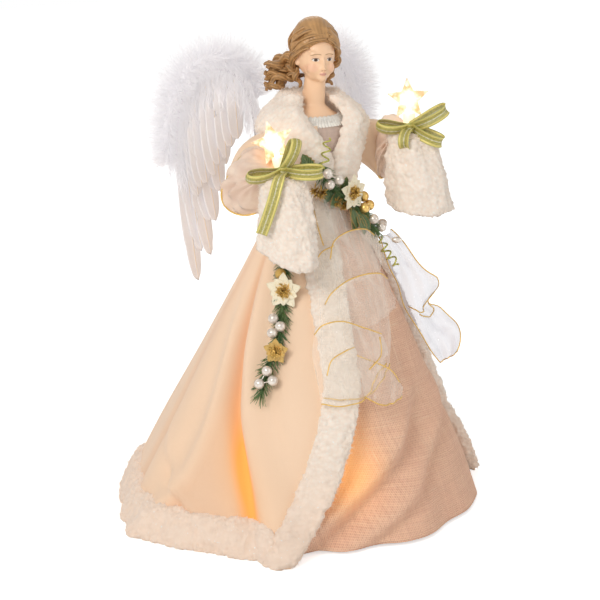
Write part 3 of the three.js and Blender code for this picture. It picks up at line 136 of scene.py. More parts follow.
class Path:
    """A smooth route with a frame that doesn't twist; at(t) takes t from 0 to 1 by length."""

    def __init__(self, points, count=64, smooth=True):
        given = [Vector(p) for p in points]
        dense = smooth_points(given) if smooth else given
        run = [0.0]
        for a, b in zip(dense, dense[1:]):
            run.append(run[-1] + (b - a).length)
        self.length = run[-1]
        self.points, k = [], 0
        for i in range(count + 1):
            goal = self.length * i / count
            while k < len(run) - 2 and run[k + 1] < goal:
                k += 1
            share = (goal - run[k]) / max(run[k + 1] - run[k], 1e-9)
            self.points.append(dense[k].lerp(dense[k + 1], clamp(share)))
        self.tangents = []
        for i in range(count + 1):
            step = self.points[min(count, i + 1)] - self.points[max(0, i - 1)]
            self.tangents.append(step.normalized())
        side = self.tangents[0].orthogonal().normalized()
        self.sides = []
        for tangent in self.tangents:
            side = (side - tangent * side.dot(tangent)).normalized()
            self.sides.append(side)

    def _mix(self, values, t):
        k, mix = row_at(len(values), t)
        return values[k].lerp(values[k + 1], mix)

    def at(self, t):
        return self._mix(self.points, t)

    def tangent(self, t):
        return self._mix(self.tangents, t).normalized()

    def around(self, t, angle, radius):
        """A point at a radius from the route, at an angle round it in turns."""
        tangent, side = self.tangent(t), self._mix(self.sides, t)
        side = (side - tangent * side.dot(tangent)).normalized()
        c, s = polar(360 * angle, radius)
        return self.at(t) + side * c + tangent.cross(side) * s


# The figure's own surface, as the solids have it

WAIST, WAIST_WIDE, WAIST_DEEP, FORWARD = 262.0, 23.5, 19.0, 10.0
HEM, UNDER_HEM, UNDER_LIFT = 153.0, 138.0, 3.0
TORSO, SHOULDER = 75.0, 36.0
# Share of the torso's height, half width and half depth
TORSO_ROWS = [
    (0.0, WAIST_WIDE, WAIST_DEEP),
    (0.24, 0.73 * SHOULDER, 0.57 * SHOULDER),
    (0.5, 0.89 * SHOULDER, 0.62 * SHOULDER),
    (0.72, SHOULDER, 0.58 * SHOULDER),
    (0.84, 0.78 * SHOULDER, 0.46 * SHOULDER),
    (0.93, 0.42 * SHOULDER, 0.36 * SHOULDER),
    (1.0, 0.25 * SHOULDER, 0.25 * SHOULDER),
]
ROBE_MIDDLE, ROBE_OUTER = 3.1, 4.0
ROBE_TOP = WAIST + 0.8 * TORSO
# Main folds of the robe: angle, share of the depth and width in degrees
FOLDS = [
    (-48, 0.35, 9), (-68, -1, 11), (-98, 0.6, 16), (-126, -0.6, 11), (-152, 0.5, 13),
    (-178, -0.7, 11), (-204, 0.5, 13), (-230, -0.6, 11), (-258, 0.5, 14), (-288, 0.9, 9),
]
FOLD_DEPTH, UNDER_FOLD_DEPTH, UNDER_FOLDS = 9.0, 3.0, 9


def drop_at(z):
    return clamp(1 - z / WAIST)


def figure_at(z, hem=HEM):
    """Half width, half depth and middle of the figure at a height."""
    if z <= WAIST:
        drop = drop_at(z)
        flare = drop**0.95
        lean = -FORWARD * min(1, (1 - drop) / 0.76)
        return lerp(WAIST_WIDE, hem, flare), lerp(WAIST_DEEP, hem, flare), lean
    rise = (z - WAIST) / TORSO
    k = 1
    while k < len(TORSO_ROWS) - 1 and rise > TORSO_ROWS[k][0]:
        k += 1
    low, high = TORSO_ROWS[k - 1], TORSO_ROWS[k]
    share = clamp((rise - low[0]) / (high[0] - low[0]))
    return lerp(low[1], high[1], share), lerp(low[2], high[2], share), -FORWARD


def on_figure(angle, z, off, hem=HEM, ripple=0.0):
    """A point at an angle and a height, off the figure's surface by a distance and a ripple."""
    wide, deep, middle = figure_at(z, hem)
    grown = off + ripple
    y, x = polar(angle, deep + grown, wide + grown)
    return Vector((x, middle - y, z))


def outwards(point):
    return Vector((point.x, point.y + FORWARD, 0)).normalized()


def robe_fold(angle, z):
    total = sum(share * bump(angle, middle, width) for middle, share, width in FOLDS)
    return FOLD_DEPTH * drop_at(z) ** 1.2 * total


def under_fold(angle, z):
    return UNDER_FOLD_DEPTH * drop_at(z) * math.cos(math.radians(angle * UNDER_FOLDS))


def torso_share(z):
    return max(0.0, (z - WAIST) / TORSO)


def right_edge(z):
    return -17 - 27 * max(0.0, 2 * drop_at(z) - 1) ** 1.2 - 6 * torso_share(z)


def left_edge(z):
    return 40 + 34 * drop_at(z) ** 0.5 + 6 * torso_share(z)


def left_rim(z):
    """Left edge of the robe's cloth, which lies a little further back above the hem."""
    return left_edge(z) + 5.5 * clamp((z - 42) / 25) * clamp((220 - z) / 40)


def band_degrees(z, width=27.0):
    return math.degrees(width / (figure_at(z)[0] + ROBE_OUTER))


ARM, SHOULDER_HEIGHT = 100.0, 306.0


def arm_place(place):
    x, y, z = place[:3]
    return Vector((x * ARM, -FORWARD + y * ARM, SHOULDER_HEIGHT + z * ARM))


# Building in bmesh


def shape(across, along, place, ring=False, ends=False, cloth=None, marks=None):
    """A grid over u and v in 0..1, bent to place(u, v); ring closes it in u, ends caps it in v.

    cloth(u, v) gives the piece's own flat map in metres; without it the map is u and v. Each of
    marks is a function of u and v whose value the finish reads at the point.
    """
    bm = bmesh.new()
    bmesh.ops.create_grid(bm, x_segments=across, y_segments=along, size=0.5)
    flat = bm.loops.layers.uv.new("flat")
    layers = [(bm.verts.layers.float.new(name), value) for name, value in (marks or {}).items()]
    spots = {v: (clamp(v.co.x + 0.5), clamp(v.co.y + 0.5)) for v in bm.verts}
    for face in bm.faces:
        for loop in face.loops:
            spot = spots[loop.vert]
            loop[flat].uv = cloth(*spot) if cloth else spot
    for vert, spot in spots.items():
        vert.co = place(*spot)
        for layer, value in layers:
            vert[layer] = value(*spot)
    if ring or ends:
        bmesh.ops.remove_doubles(bm, verts=bm.verts, dist=1e-3)
    if ends:
        rim = [e for e in bm.edges if e.is_boundary]
        bmesh.ops.holes_fill(bm, edges=rim, sides=0)
    return bm


def join(parts):
    """One bmesh from several, which are used up."""
    whole = bmesh.new()
    for part in parts:
        held = bpy.data.meshes.new("held")
        part.to_mesh(held)
        part.free()
        whole.from_mesh(held)
        bpy.data.meshes.remove(held)
    return whole


def egg(middle, radii, columns=24, rows=16, tilt=None):
    bm = bmesh.new()
    turn = tilt or Matrix.Identity(4)
    place = Matrix.Translation(middle) @ turn @ Matrix.Diagonal((*radii, 1))
    bmesh.ops.create_uvsphere(bm, u_segments=columns, v_segments=rows, radius=1, matrix=place)
    return bm


def pipe(path, radius, around=8, along=40, ends=True):
    """A round length along a path; radius is a number or a function of the share along it."""
    size = radius if callable(radius) else lambda t: radius
    return shape(around, along, lambda u, v: path.around(v, u, size(v)), ring=True, ends=ends)


def strands(count, steps, path):
    """Flat tapering strands from one grid whose rows are taken apart.

    path(i) gives, for strand i, a list of steps + 1 pairs: its middle and half its width across.
    """
    bm = bmesh.new()
    rows = 2 * count - 1
    bmesh.ops.create_grid(bm, x_segments=steps, y_segments=rows, size=0.5)
    flat = bm.loops.layers.uv.new("flat")
    between, spots = [], {}
    for face in bm.faces:
        if int((face.calc_center_median().y + 0.5) * rows) % 2:
            between.append(face)
    for v in bm.verts:
        spots[v] = (round((v.co.y + 0.5) * rows), round((v.co.x + 0.5) * steps))
    for face in bm.faces:
        for loop in face.loops:
            row, step = spots[loop.vert]
            loop[flat].uv = (row % 2, step / steps)
    made = [path(i) for i in range(count)]
    for v, (row, step) in spots.items():
        middle, half = made[row // 2][step]
        v.co = middle + (half if row % 2 else -half)
    bmesh.ops.delete(bm, geom=between, context="FACES_ONLY")
    return bm


def fused(bm, voxel, rounds):
    """Overlapping closed shapes made one even skin, and smoothed."""
    mesh = bpy.data.meshes.new("fused")
    bm.to_mesh(mesh)
    bm.free()
    obj = bpy.data.objects.new("fused", mesh)
    bpy.context.scene.collection.objects.link(obj)
    skin = obj.modifiers.new("skin", "REMESH")
    skin.mode, skin.voxel_size = "VOXEL", voxel
    graph = bpy.context.evaluated_depsgraph_get()
    whole = bpy.data.meshes.new_from_object(obj.evaluated_get(graph))
    out = bmesh.new()
    out.from_mesh(whole)
    bpy.data.objects.remove(obj)
    bpy.data.meshes.remove(mesh)
    bpy.data.meshes.remove(whole)
    soften(out, rounds)
    return out


def soften(bm, rounds):
    for _ in range(rounds):
        bmesh.ops.smooth_vert(
            bm, verts=bm.verts, factor=0.5, use_axis_x=True, use_axis_y=True, use_axis_z=True
        )


def moved(bm, matrix):
    bmesh.ops.transform(bm, matrix=matrix, verts=bm.verts)


def push(bm, strokes):
    """Moves a skin by soft strokes: each is a place, a reach and a shift."""
    for place, reach, shift in strokes:
        middle, way = Vector(place), Vector(shift)
        for v in bm.verts:
            away = (v.co - middle).length
            if away < 2.5 * reach:
                v.co += way * math.exp(-((away / reach) ** 2))


def curl_pile(bm, size, height, seed=0.0):
    """Raises a skin into the small curled lumps of a pile fabric."""
    bm.normal_update()
    shift = Vector((seed, 0.37 * seed, 0.71 * seed))
    lifts = []
    for v in bm.verts:
        spot = v.co / size + shift
        spot += 0.7 * noise.noise_vector(spot * 0.8)
        near = noise.voronoi(spot)[0][0]
        broad = noise.noise(v.co / (2.6 * size) + shift)
        fine = noise.noise(v.co / (0.35 * size) + shift)
        tuft = noise.noise(v.co / (0.8 * size) - shift)
        lifts.append(height * (0.55 * (0.75 - near) + 0.9 * broad + 0.8 * tuft + 0.5 * fine))
    for v, lift in zip(bm.verts, lifts):
        v.co += v.normal * lift


def bent(start, reach, sag, half, thinner, steps):
    """The rows of one strand: along its reach, bent by its sag and narrower towards its tip."""
    shares = [step / steps for step in range(steps + 1)]
    return [(start + reach * t + sag * (t * t), half * (1 - thinner * t)) for t in shares]


def fibres(bm, count, length, width, rng):
    """Loose curled fibres that stand out of a skin."""
    bm.verts.ensure_lookup_table()
    total = len(bm.verts)

    def one(_):
        v = bm.verts[rng.randrange(total)]
        way = (v.normal + 0.8 * stray(rng)).normalized()
        bend = stray(rng)
        half = way.cross(bend).normalized() * width * 0.5
        size = length * rng.uniform(0.5, 1.1)
        return bent(v.co, way * size, bend * (0.45 * size), half, 0.85, 3)

    return strands(count, 3, one)


def piece(name, bm, finish, slot, body="figure", nodes=(), wall=0.0, turn=True, flat=False):
    """Finishes a bmesh in millimetres as a piece of the topper, in metres at the origin.

    turn makes its faces point outwards, and flat leaves its facets sharp.
    """
    bmesh.ops.scale(bm, vec=(MM, MM, MM), verts=bm.verts)
    if turn:
        bmesh.ops.recalc_face_normals(bm, faces=bm.faces)
    mesh = bpy.data.meshes.new(name)
    bm.to_mesh(mesh)
    bm.free()
    if not flat:
        mesh.shade_smooth()
    mesh.materials.append(finish)
    obj = bpy.data.objects.new(name, mesh)
    bpy.context.scene.collection.objects.link(obj)
    if wall:
        thick = obj.modifiers.new("wall", "SOLIDIFY")
        thick.thickness, thick.offset = wall * MM, 0
    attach(obj, body)
    if nodes:
        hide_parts(*nodes)
    return obj


def paint(node, finish):
    """Gives a part that keeps its solid its finish."""
    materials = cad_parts[node].data.materials
    materials.clear()
    materials.append(finish)


# Materials


def maths(operation, turned=False):
    """A method that adds a Math node to a tone; turned puts the tone itself second."""

    def method(self, *others):
        node = self.tree.nodes.new("ShaderNodeMath")
        node.operation = operation
        for slot, value in zip(node.inputs, (*others, self) if turned else (self, *others)):
            feed(self.tree, slot, value)
        return Tone(self.tree, node.outputs[0])

    return method


class Tone:
    """A socket that Python arithmetic can be written on; each step adds its Math node."""

    def __init__(self, tree, socket):
        self.tree, self.socket = tree, socket

    __add__ = __radd__ = maths("ADD")
    __mul__ = __rmul__ = maths("MULTIPLY")
    __sub__, __rsub__ = maths("SUBTRACT"), maths("SUBTRACT", turned=True)
    __truediv__, __pow__ = maths("DIVIDE"), maths("POWER")
    abs, sin = maths("ABSOLUTE"), maths("SINE")
    least, most = maths("MINIMUM"), maths("MAXIMUM")

    def step(self, low, high):
        """0 below low, 1 above high, and a smooth rise between; high may be the lower one."""
        node = self.tree.nodes.new("ShaderNodeMapRange")
        node.interpolation_type = "SMOOTHSTEP"
        for name, value in {"Value": self, "From Min": low, "From Max": high}.items():
            feed(self.tree, node.inputs[name], value)
        return Tone(self.tree, node.outputs["Result"])


def feed(tree, slot, value):
    if isinstance(value, Tone):
        tree.links.new(value.socket, slot)
    else:
        slot.default_value = value


def rgb(colour):
    return (*colour[:3], 1.0)


class Finish:
    """A material as it is mixed: node() adds any node, and the rest are its common uses."""

    def __init__(self, name, **plain):
        self.material = bpy.data.materials.new(name)
        self.material.use_nodes = True
        self.tree = self.material.node_tree
        self.shader = self.tree.nodes["Principled BSDF"]
        self.set(**plain)

    def set(self, **values):
        for key, value in values.items():
            name = key.replace("_", " ").title().replace("Ior", "IOR")
            feed(self.tree, self.shader.inputs[name], value)
        return self

    def node(self, kind, settings=None, sockets=None, out=0):
        made = self.tree.nodes.new("ShaderNode" + kind)
        for key, value in (settings or {}).items():
            setattr(made, key, value)
        for key, value in (sockets or {}).items():
            feed(self.tree, made.inputs[key], value)
        return Tone(self.tree, made.outputs[out])

    def place(self):
        return self.node("TexCoord", out="Object")

    def flat(self):
        return self.node("UVMap", {"uv_map": "flat"})

    def parts(self, vector):
        made = self.node("SeparateXYZ", sockets={"Vector": vector})
        return [Tone(self.tree, made.socket.node.outputs[i]) for i in range(3)]

    def across(self):
        """How far from the middle line of a strip, up to 0.5, and how far along it."""
        x, y, _ = self.parts(self.flat())
        return (x - 0.5).abs(), y

    def noise(self, scale, detail=3.0, rough=0.55, at=None, warp=0.0):
        values = {"Scale": scale, "Detail": detail, "Roughness": rough, "Distortion": warp}
        return self.node("TexNoise", sockets={"Vector": at or self.place(), **values})

    def cells(self, scale, at=None, feature="F1"):
        sockets = {"Vector": at or self.place(), "Scale": scale}
        return self.node("TexVoronoi", {"feature": feature}, sockets)

    def stretch(self, scale, at=None):
        sockets = {"Vector": at or self.place(), "Scale": scale}
        return self.node("Mapping", sockets=sockets)

    def drawn_out(self, scale, detail, *factors, **more):
        """Noise on the piece's own flat map, stretched by factors."""
        return self.noise(scale, detail, at=self.stretch(factors, self.flat()), **more)

    def slubs(self, scale, thin):
        """Unevenness along the threads of a weave, those one way and those across them."""
        ways = (1, thin, 1), (thin, 1, 1)
        return [self.drawn_out(scale, 2, *way) for way in ways]

    def near(self, spot, reach):
        """1 at a spot in millimetres, falling to 0 at its reach."""
        sockets = {0: self.place(), 1: Vector(spot) * MM}
        away = self.node("VectorMath", {"operation": "DISTANCE"}, sockets, "Value")
        return away.step(reach * MM, 0.0)

    def mix(self, share, first, second):
        sockets = {0: share, 6: first, 7: second}
        for key in (6, 7):
            if not isinstance(sockets[key], Tone):
                sockets[key] = rgb(sockets[key])
        return self.node("Mix", {"data_type": "RGBA"}, sockets, 2)

    def bump(self, height, distance, strength=1.0):
        sockets = {"Height": height, "Distance": distance * MM, "Strength": strength}
        return self.set(normal=self.node("Bump", sockets=sockets))


def shaded(colour, factor, more=0.0):
    return tuple(min(1, c * factor + more) for c in colour[:3])


def robe_finish(s):
    f = Finish("Robe cloth", sheen_weight=0.2, sheen_roughness=0.5, specular_ior_level=0.2)
    broad = f.noise(14, 2).step(0.3, 0.7)
    nap = f.noise(1500, 2)
    painted_fold_shade = f.node("Attribute", {"attribute_name": "painted_fold_shade"}, out=2)
    warm = f.node("Attribute", {"attribute_name": "glow"}, out=2)
    colour = f.mix(broad * 0.4, s.robe, shaded(s.robe, 0.94))
    colour = f.mix(nap.step(0.35, 0.75) * 0.12, colour, (1.0, 0.84, 0.68))
    # Painted shade: the robe's folds are darkened to a warm brown by this mark.
    colour = f.mix(painted_fold_shade, colour, (0.78, 0.45, 0.27))
    # Painted lamp light: orange colour and glow where the glow mark is high.
    colour = f.mix((warm * 1.3).least(0.92), colour, (1.0, 0.45, 0.1))
    f.set(base_color=colour, roughness=nap * 0.15 + 0.78, emission_strength=0.22)
    f.set(emission_color=f.mix(warm, (0, 0, 0), (1.0, 0.36, 0.04)))
    return f.bump(nap * 0.4 + f.noise(260, 2), 0.25, 0.5).material


def weave_of(f, pitch):
    """Height of a plain weave on the piece's own flat map, with uneven threads."""
    x, y, _ = f.parts(f.flat())
    wander, wander_up = f.slubs(90, 0.12)
    thick, thin = f.slubs(420, 0.05)
    count = math.tau / pitch
    warp = (x * count + wander * 2.2).sin()
    weft = (y * count + wander_up * 2.2).sin()
    over = (x * (count / 2)).sin() * (y * (count / 2)).sin()
    return (warp + weft) * 0.2 + over * 0.12 + (thick + thin) * 0.78


def linen_finish(name, colour, pitch, glow=False):
    """Open weave; glow adds the light of the lamps that shine through low in front."""
    f = Finish(name, sheen_weight=0.1, specular_ior_level=0.2)
    height = weave_of(f, pitch)
    # Painted light and shade: threads that stand higher in the weave are lighter and its hollows darker.
    tone = f.mix(height.step(0.0, 1.5), shaded(colour, 0.7), shaded(colour, 1.2))
    up_down, across = f.slubs(520, 0.045)
    pale = up_down.step(0.6, 0.78).most(across.step(0.6, 0.78))
    tone = f.mix(pale * 0.5, tone, shaded(colour, 1.2, 0.12))
    tone = f.mix(f.noise(22, 3).step(0.35, 0.75) * 0.3, tone, shaded(colour, 0.9))
    if glow:
        low, high = f.near((-52, -113, 62), 58), f.near((-44, -108, 95), 50)
        warm = (low**1.6 + high**2 * 0.5).least(1.0)
        tone = f.mix(warm * 0.8, tone, (1.0, 0.52, 0.2))
        spark = (f.near((-45, -115, 72), 3.6) + f.near((-60, -115, 57), 3.2)).least(1.0)
        light = f.mix(spark, f.mix(warm, (0, 0, 0), (0.42, 0.17, 0.04)), (4.0, 2.6, 1.2))
        f.set(emission_color=light, emission_strength=1.0)
    f.set(base_color=tone, roughness=0.9)
    return f.bump(height, 0.5, 1.0).material


def pile_finish(s):
    f = Finish("Curled pile", sheen_weight=0.3, sheen_roughness=0.6, specular_ior_level=0.15)
    curls = f.cells(330)
    fine = f.noise(900, 4, 0.7, warp=0.8)
    shade = (curls * 0.8 + fine * 0.5).step(0.25, 1.0)
    tone = f.mix(shade, s.pile, (0.92, 0.79, 0.67))
    _, _, z = f.parts(f.place())
    # Painted shade: the pile is darker and warmer below 100 mm, along the hem.
    tone = f.mix(z.step(0.1, 0.01) * 0.75, tone, (0.9, 0.69, 0.54))
    glints = f.noise(700, 0).step(0.8, 0.84)
    f.set(base_color=f.mix(glints, tone, (1, 1, 1)), roughness=0.95 - glints * 0.6)
    # Painted light: the pile glows faintly, standing in for light that scatters through its curls.
    f.set(emission_color=(1.0, 0.86, 0.72, 1.0), emission_strength=0.06)
    return f.bump(fine * 1.4 - curls * 0.5, 0.6, 0.7).material


def feather_finish(s):
    f = Finish("Feather vane", sheen_weight=0.3, specular_ior_level=0.3)
    side, y = f.across()
    barbs = ((y * 9 - side * 5.5) * 62.0 + f.noise(20, 2, at=f.flat()) * 14).sin()
    soft = f.drawn_out(5, 3, 3, 8, 1)
    shaft = side.step(0.05, 0.02)
    tone = f.mix(barbs.step(-1.0, 1.0), shaded(s.feather, 0.97), s.feather)
    # Painted shade: faint grey-lavender streaks along the vane.
    tone = f.mix(soft.step(0.45, 0.75) * 0.5, tone, (0.86, 0.8, 0.83))
    tone = f.mix(shaft, tone, (0.95, 0.82, 0.68))
    f.set(base_color=tone, roughness=0.7 - shaft * 0.3)
    # Painted light: the vanes glow faintly, standing in for light that passes through them.
    f.set(emission_color=(1.0, 0.94, 0.93, 1.0), emission_strength=0.1)
    return f.bump(barbs * 0.4 + shaft * 3, 0.1, 0.5).material


def down_finish(s):
    f = Finish("Marabou down", sheen_weight=0.4, specular_ior_level=0.1, roughness=1.0)
    f.set(base_color=f.mix(f.noise(60, 2), shaded(s.feather, 0.98), s.feather))
    # Painted light: the down glows faintly, standing in for light scattered among its strands.
    return f.set(emission_color=(0.94, 0.95, 1.0, 1.0), emission_strength=0.1).material


def sheer_finish(name, colour, cover, pitch):
    """Sheer woven cloth: cover is the share that its threads hide."""
    f = Finish(name, sheen_weight=0.3, specular_ior_level=0.4)
    x, y, _ = f.parts(f.flat())
    count = math.tau / pitch
    threads = (x * count).sin().most((y * count).sin()) * 0.05
    cloud = f.noise(30, 2, at=f.flat())
    glints = f.noise(700, 1, at=f.flat()).step(0.72, 0.78)
    streaks = f.drawn_out(40, 3, 2, 0.5, 1, warp=1.2).step(0.45, 0.75)
    tone = f.mix(cloud, colour, shaded(colour, 0.92))
    f.set(base_color=f.mix(glints, tone, (1, 1, 1)), roughness=0.42 + cloud * 0.2)
    thick = threads + cover + streaks * 0.22 + (cloud - 0.5) * 0.2 + glints * 0.3
    f.set(alpha=thick.least(0.95))
    # Painted light: the organza glows faintly in its own colour.
    f.set(emission_color=rgb(colour), emission_strength=0.07)
    return f.bump(streaks * 2 + f.noise(500, 2, at=f.flat()) * 0.3, 0.12, 0.6).material


def gold_finish(s, name="Gold thread"):
    f = Finish(name, metallic=0.85)
    grain = f.noise(1900, 2)
    tone = f.mix(grain.step(0.3, 0.7), shaded(s.gold, 0.65), s.gold)
    f.set(base_color=tone, roughness=0.32 + grain * 0.25)
    return f.bump(grain, 0.2, 0.6).material


def glitter_finish(s):
    f = Finish("Gold glitter", metallic=0.95)
    cells = f.cells(1500)
    tone = f.mix(cells.step(0.1, 0.6), s.gold, shaded(s.gold, 0.6))
    f.set(base_color=tone, roughness=0.2 + cells * 0.3)
    return f.bump(cells, 0.4, 1.0).material


def ribbon_finish(s):
    f = Finish("Bow ribbon", sheen_weight=0.2, specular_ior_level=0.5)
    side, y = f.across()
    edge = side.step(0.27, 0.33)
    selvage = side.step(0.44, 0.48)
    ribs = (y * 60).sin()
    thread = f.drawn_out(5, 3, 3, 2.4, 1).step(0.36, 0.6)
    silver = side.step(0.08, 0.03) * thread * 0.8
    mottle = f.drawn_out(4, 4, 2, 1.4, 1)
    tone = f.mix(mottle.step(0.35, 0.65) * 0.8, s.ribbon, (0.62, 0.53, 0.14))
    tone = f.mix(mottle.step(0.5, 0.36) * 0.5, tone, (0.2, 0.2, 0.05))
    tone = f.mix(edge * (thread * 0.5 + 0.5), tone, (0.72, 0.6, 0.2))
    tone = f.mix(selvage, tone, (0.5, 0.52, 0.14))
    tone = f.mix(silver, tone, (0.8, 0.8, 0.72))
    f.set(base_color=tone, roughness=0.4 + ribs * 0.06)
    f.set(metallic=(edge * 0.35 + silver * 0.4).least(0.6))
    f.set(alpha=edge.most(silver) * 0.22 + 0.74)
    return f.bump(ribs * 0.4 + edge, 0.15, 0.6).material


def pearl_finish(s):
    f = Finish("Pearl lacquer", roughness=0.16, metallic=0.35, coat_weight=0.7, coat_roughness=0.08)
    swirl = f.noise(160, 2, warp=1.5)
    f.set(base_color=f.mix(swirl.step(0.3, 0.7), s.pearl, (0.62, 0.54, 0.47)), sheen_weight=0.15)
    return f.bump(swirl, 0.05, 0.4).material


def lacquer_finish(s):
    f = Finish("Gold lacquer", metallic=0.75, coat_weight=0.4)
    swirl = f.noise(240, 3)
    f.set(base_color=f.mix(swirl, s.gold, shaded(s.gold, 0.7)), roughness=0.18 + swirl * 0.2)
    return f.bump(f.cells(900), 0.12, 0.5).material


def pine_finish(s):
    f = Finish("Pine needles", roughness=0.55)
    f.set(base_color=f.mix(f.noise(90, 2).step(0.35, 0.65), s.pine, (0.13, 0.2, 0.06)))
    return f.bump(f.noise(900, 1), 0.1, 0.4).material


def leaf_finish(s):
    f = Finish("Cloth leaf", roughness=0.5, coat_weight=0.15)
    side, y = f.across()
    veins = ((y - side * 0.8) * 46).sin().step(0.8, 1.0).most(side.step(0.04, 0.01))
    edge = side.step(0.36, 0.5)
    tone = f.mix(f.noise(120, 2), s.leaf, shaded(s.leaf, 0.6))
    tone = f.mix(veins * 0.6, tone, (0.36, 0.42, 0.18))
    f.set(base_color=f.mix(edge, tone, (0.42, 0.26, 0.07)))
    return f.bump(veins, 0.2, 0.6).material


def petal_finish(s, name, colour, glitter):
    f = Finish(name, roughness=0.6, sheen_weight=0.3)
    side, y = f.across()
    veins = ((y - side * 0.9) * 40).sin().step(0.75, 1.0).most(side.step(0.05, 0.01))
    dust = (f.noise(1300, 1) + (y.step(0.62, 0.0) * 0.4 * glitter)).step(0.66, 0.72)
    tone = f.mix(veins * 0.35, colour, shaded(colour, 0.78))
    f.set(base_color=f.mix(dust, tone, s.gold), metallic=dust * 0.9)
    return f.bump(veins * 0.4 + dust * 0.5, 0.2, 0.6).material


def candle_finish():
    f = Finish("Candle tube", roughness=0.35, subsurface_weight=0.1)
    _, _, z = f.parts(f.place())
    soft = f.noise(120, 2)
    f.set(base_color=f.mix(soft, (0.97, 0.93, 0.85), (0.95, 0.89, 0.78)))
    lit = z.step(0.262, 0.318)
    f.set(emission_color=f.mix(lit, (0.12, 0.08, 0.04), (1.0, 0.78, 0.42)), emission_strength=0.55)
    return f.bump(soft, 0.1, 0.3).material


def star_finish(name, strength, middle):
    f = Finish(name, roughness=0.12, transmission_weight=0.25, coat_weight=0.5, ior=1.45)
    facets = f.noise(230, 1).step(0.35, 0.65)
    core = f.near(middle, 13).step(0.1, 0.8)
    f.set(base_color=f.mix(facets, (0.98, 0.92, 0.78), (0.88, 0.62, 0.34)))
    rim = f.mix(facets, (0.42, 0.36, 0.24), (0.16, 0.09, 0.03))
    f.set(emission_color=f.mix(core, rim, (1.0, 0.94, 0.78)), emission_strength=strength)
    return f.bump(facets, 0.5, 0.5).material


def bulb_finish():
    f = Finish("Lamp glass", roughness=0.1, base_color=(1, 0.9, 0.7, 1), emission_strength=4.0)
    warm = f.noise(300, 1)
    return f.set(emission_color=f.mix(warm, (1.0, 0.82, 0.45), (1.0, 0.68, 0.3))).material


def hair_finish(s):
    f = Finish("Painted hair", specular_ior_level=0.5)
    groove = f.node("Attribute", {"attribute_name": "groove"}, out=2)
    wash = f.noise(170, 3)
    tone = f.mix(groove, s.hair, shaded(s.hair, 0.42))
    tone = f.mix(wash.step(0.4, 0.75) * 0.45, tone, shaded(s.hair, 1.35))
    f.set(base_color=tone, roughness=0.42 + groove * 0.3, coat_weight=0.1)
    return f.bump(f.noise(650, 2) - groove, 0.15, 0.5).material


# How much of the head the flat map of the face covers, and the height of the line of the mouth
FACE_SPAN, LIP_LINE = 100.0, -11.35


def face_paint(f, s, tone):
    """The painted cheeks, brows, eyes and mouth, alike on both sides of the face's middle."""
    u, v, _ = f.parts(f.flat())
    x, z = (u - 0.5) * FACE_SPAN, (v - 0.5) * FACE_SPAN
    far = x.abs()

    def away(cx, cz, wide, tall):
        return ((far - cx) / wide) ** 2.0 + ((z - cz) / tall) ** 2.0

    def oval(cx, cz, wide, tall, soft=0.15):
        return away(cx, cz, wide, tall).step(1.0 + soft, 1.0 - soft)

    brow_line = (z - 4.5 + ((far - 5.0) / 4.2) ** 2.0 * 0.9).abs()
    brow = brow_line.step(0.5, 0.18) * oval(5.8, 4.4, 4.1, 3.0, 0.3)
    white = oval(5.9, -0.1, 2.5, 1.18)
    lash = (oval(5.9, 0.12, 2.85, 1.5) - white).most(0.0) * z.step(-0.6, 0.5)
    crease = (away(5.9, 0.2, 3.2, 2.5) - 1.0).abs().step(0.16, 0.03)
    lips = (z - LIP_LINE - (far / 2.8) ** 2.0 * 0.25).abs().step(0.22, 0.05)
    for share, paint_colour in (
        (away(8.2, -6.4, 6.0, 4.6).step(1.0, 0.0) * 0.4, s.blush),
        (oval(5.9, 0.9, 4.2, 2.9, 0.8) * 0.22, (0.72, 0.45, 0.32)),
        (brow * 0.75, shaded(s.hair, 0.62)),
        (white, (0.86, 0.8, 0.74)),
        (oval(5.85, 0.05, 1.45, 1.4) * white, (0.09, 0.04, 0.02)),
        (oval(5.85, 0.1, 0.6, 0.65) * white, (0.02, 0.015, 0.01)),
        (lash * 0.9, (0.12, 0.06, 0.035)),
        (crease * z.step(0.8, 2.0) * 0.35, (0.45, 0.24, 0.15)),
        (oval(0.0, LIP_LINE, 2.9, 1.25, 0.3) * 0.8, s.lips),
        (lips * oval(0, LIP_LINE, 2.8, 1.4) * 0.7, shaded(s.lips, 0.45)),
        (oval(1.15, -8.6, 0.5, 0.3, 0.4) * 0.6, shaded(s.lips, 0.5)),
    ):
        tone = f.mix(share, tone, paint_colour)
    f.set(roughness=0.42 - white * 0.3)
    return tone


def skin_finish(s, face):
    f = Finish("Painted skin", roughness=0.42, specular_ior_level=0.45, coat_weight=0.08)
    tone = f.mix(f.noise(60, 2), s.skin, shaded(s.skin, 0.965))
    f.set(base_color=face_paint(f, s, tone) if face else tone)
    return f.bump(f.noise(500, 2), 0.04, 0.4).material


def moulded_finish(name, colour, grain, rough=0.45, depth=0.06, **plain):
    f = Finish(name, **plain)
    spots = f.noise(grain, 3)
    f.set(base_color=f.mix(spots, colour, shaded(colour, 0.9)), roughness=rough + spots * 0.15)
    return f.bump(spots, depth, 0.6).material


def steel_finish():
    f = Finish("Drawn steel", metallic=1.0)
    lines = f.noise(300, 2, at=f.stretch((1, 1, 12)))
    tone = f.mix(lines, (0.62, 0.62, 0.63), (0.45, 0.45, 0.46))
    f.set(base_color=tone, roughness=0.3 + lines * 0.2)
    return f.bump(lines, 0.05, 0.5).material


# Sizes and colours that a user may change


def colour(name, default, about):
    return FloatVectorProperty(
        name=name, description=about, default=default, subtype="COLOR", size=3, min=0, max=1
    )


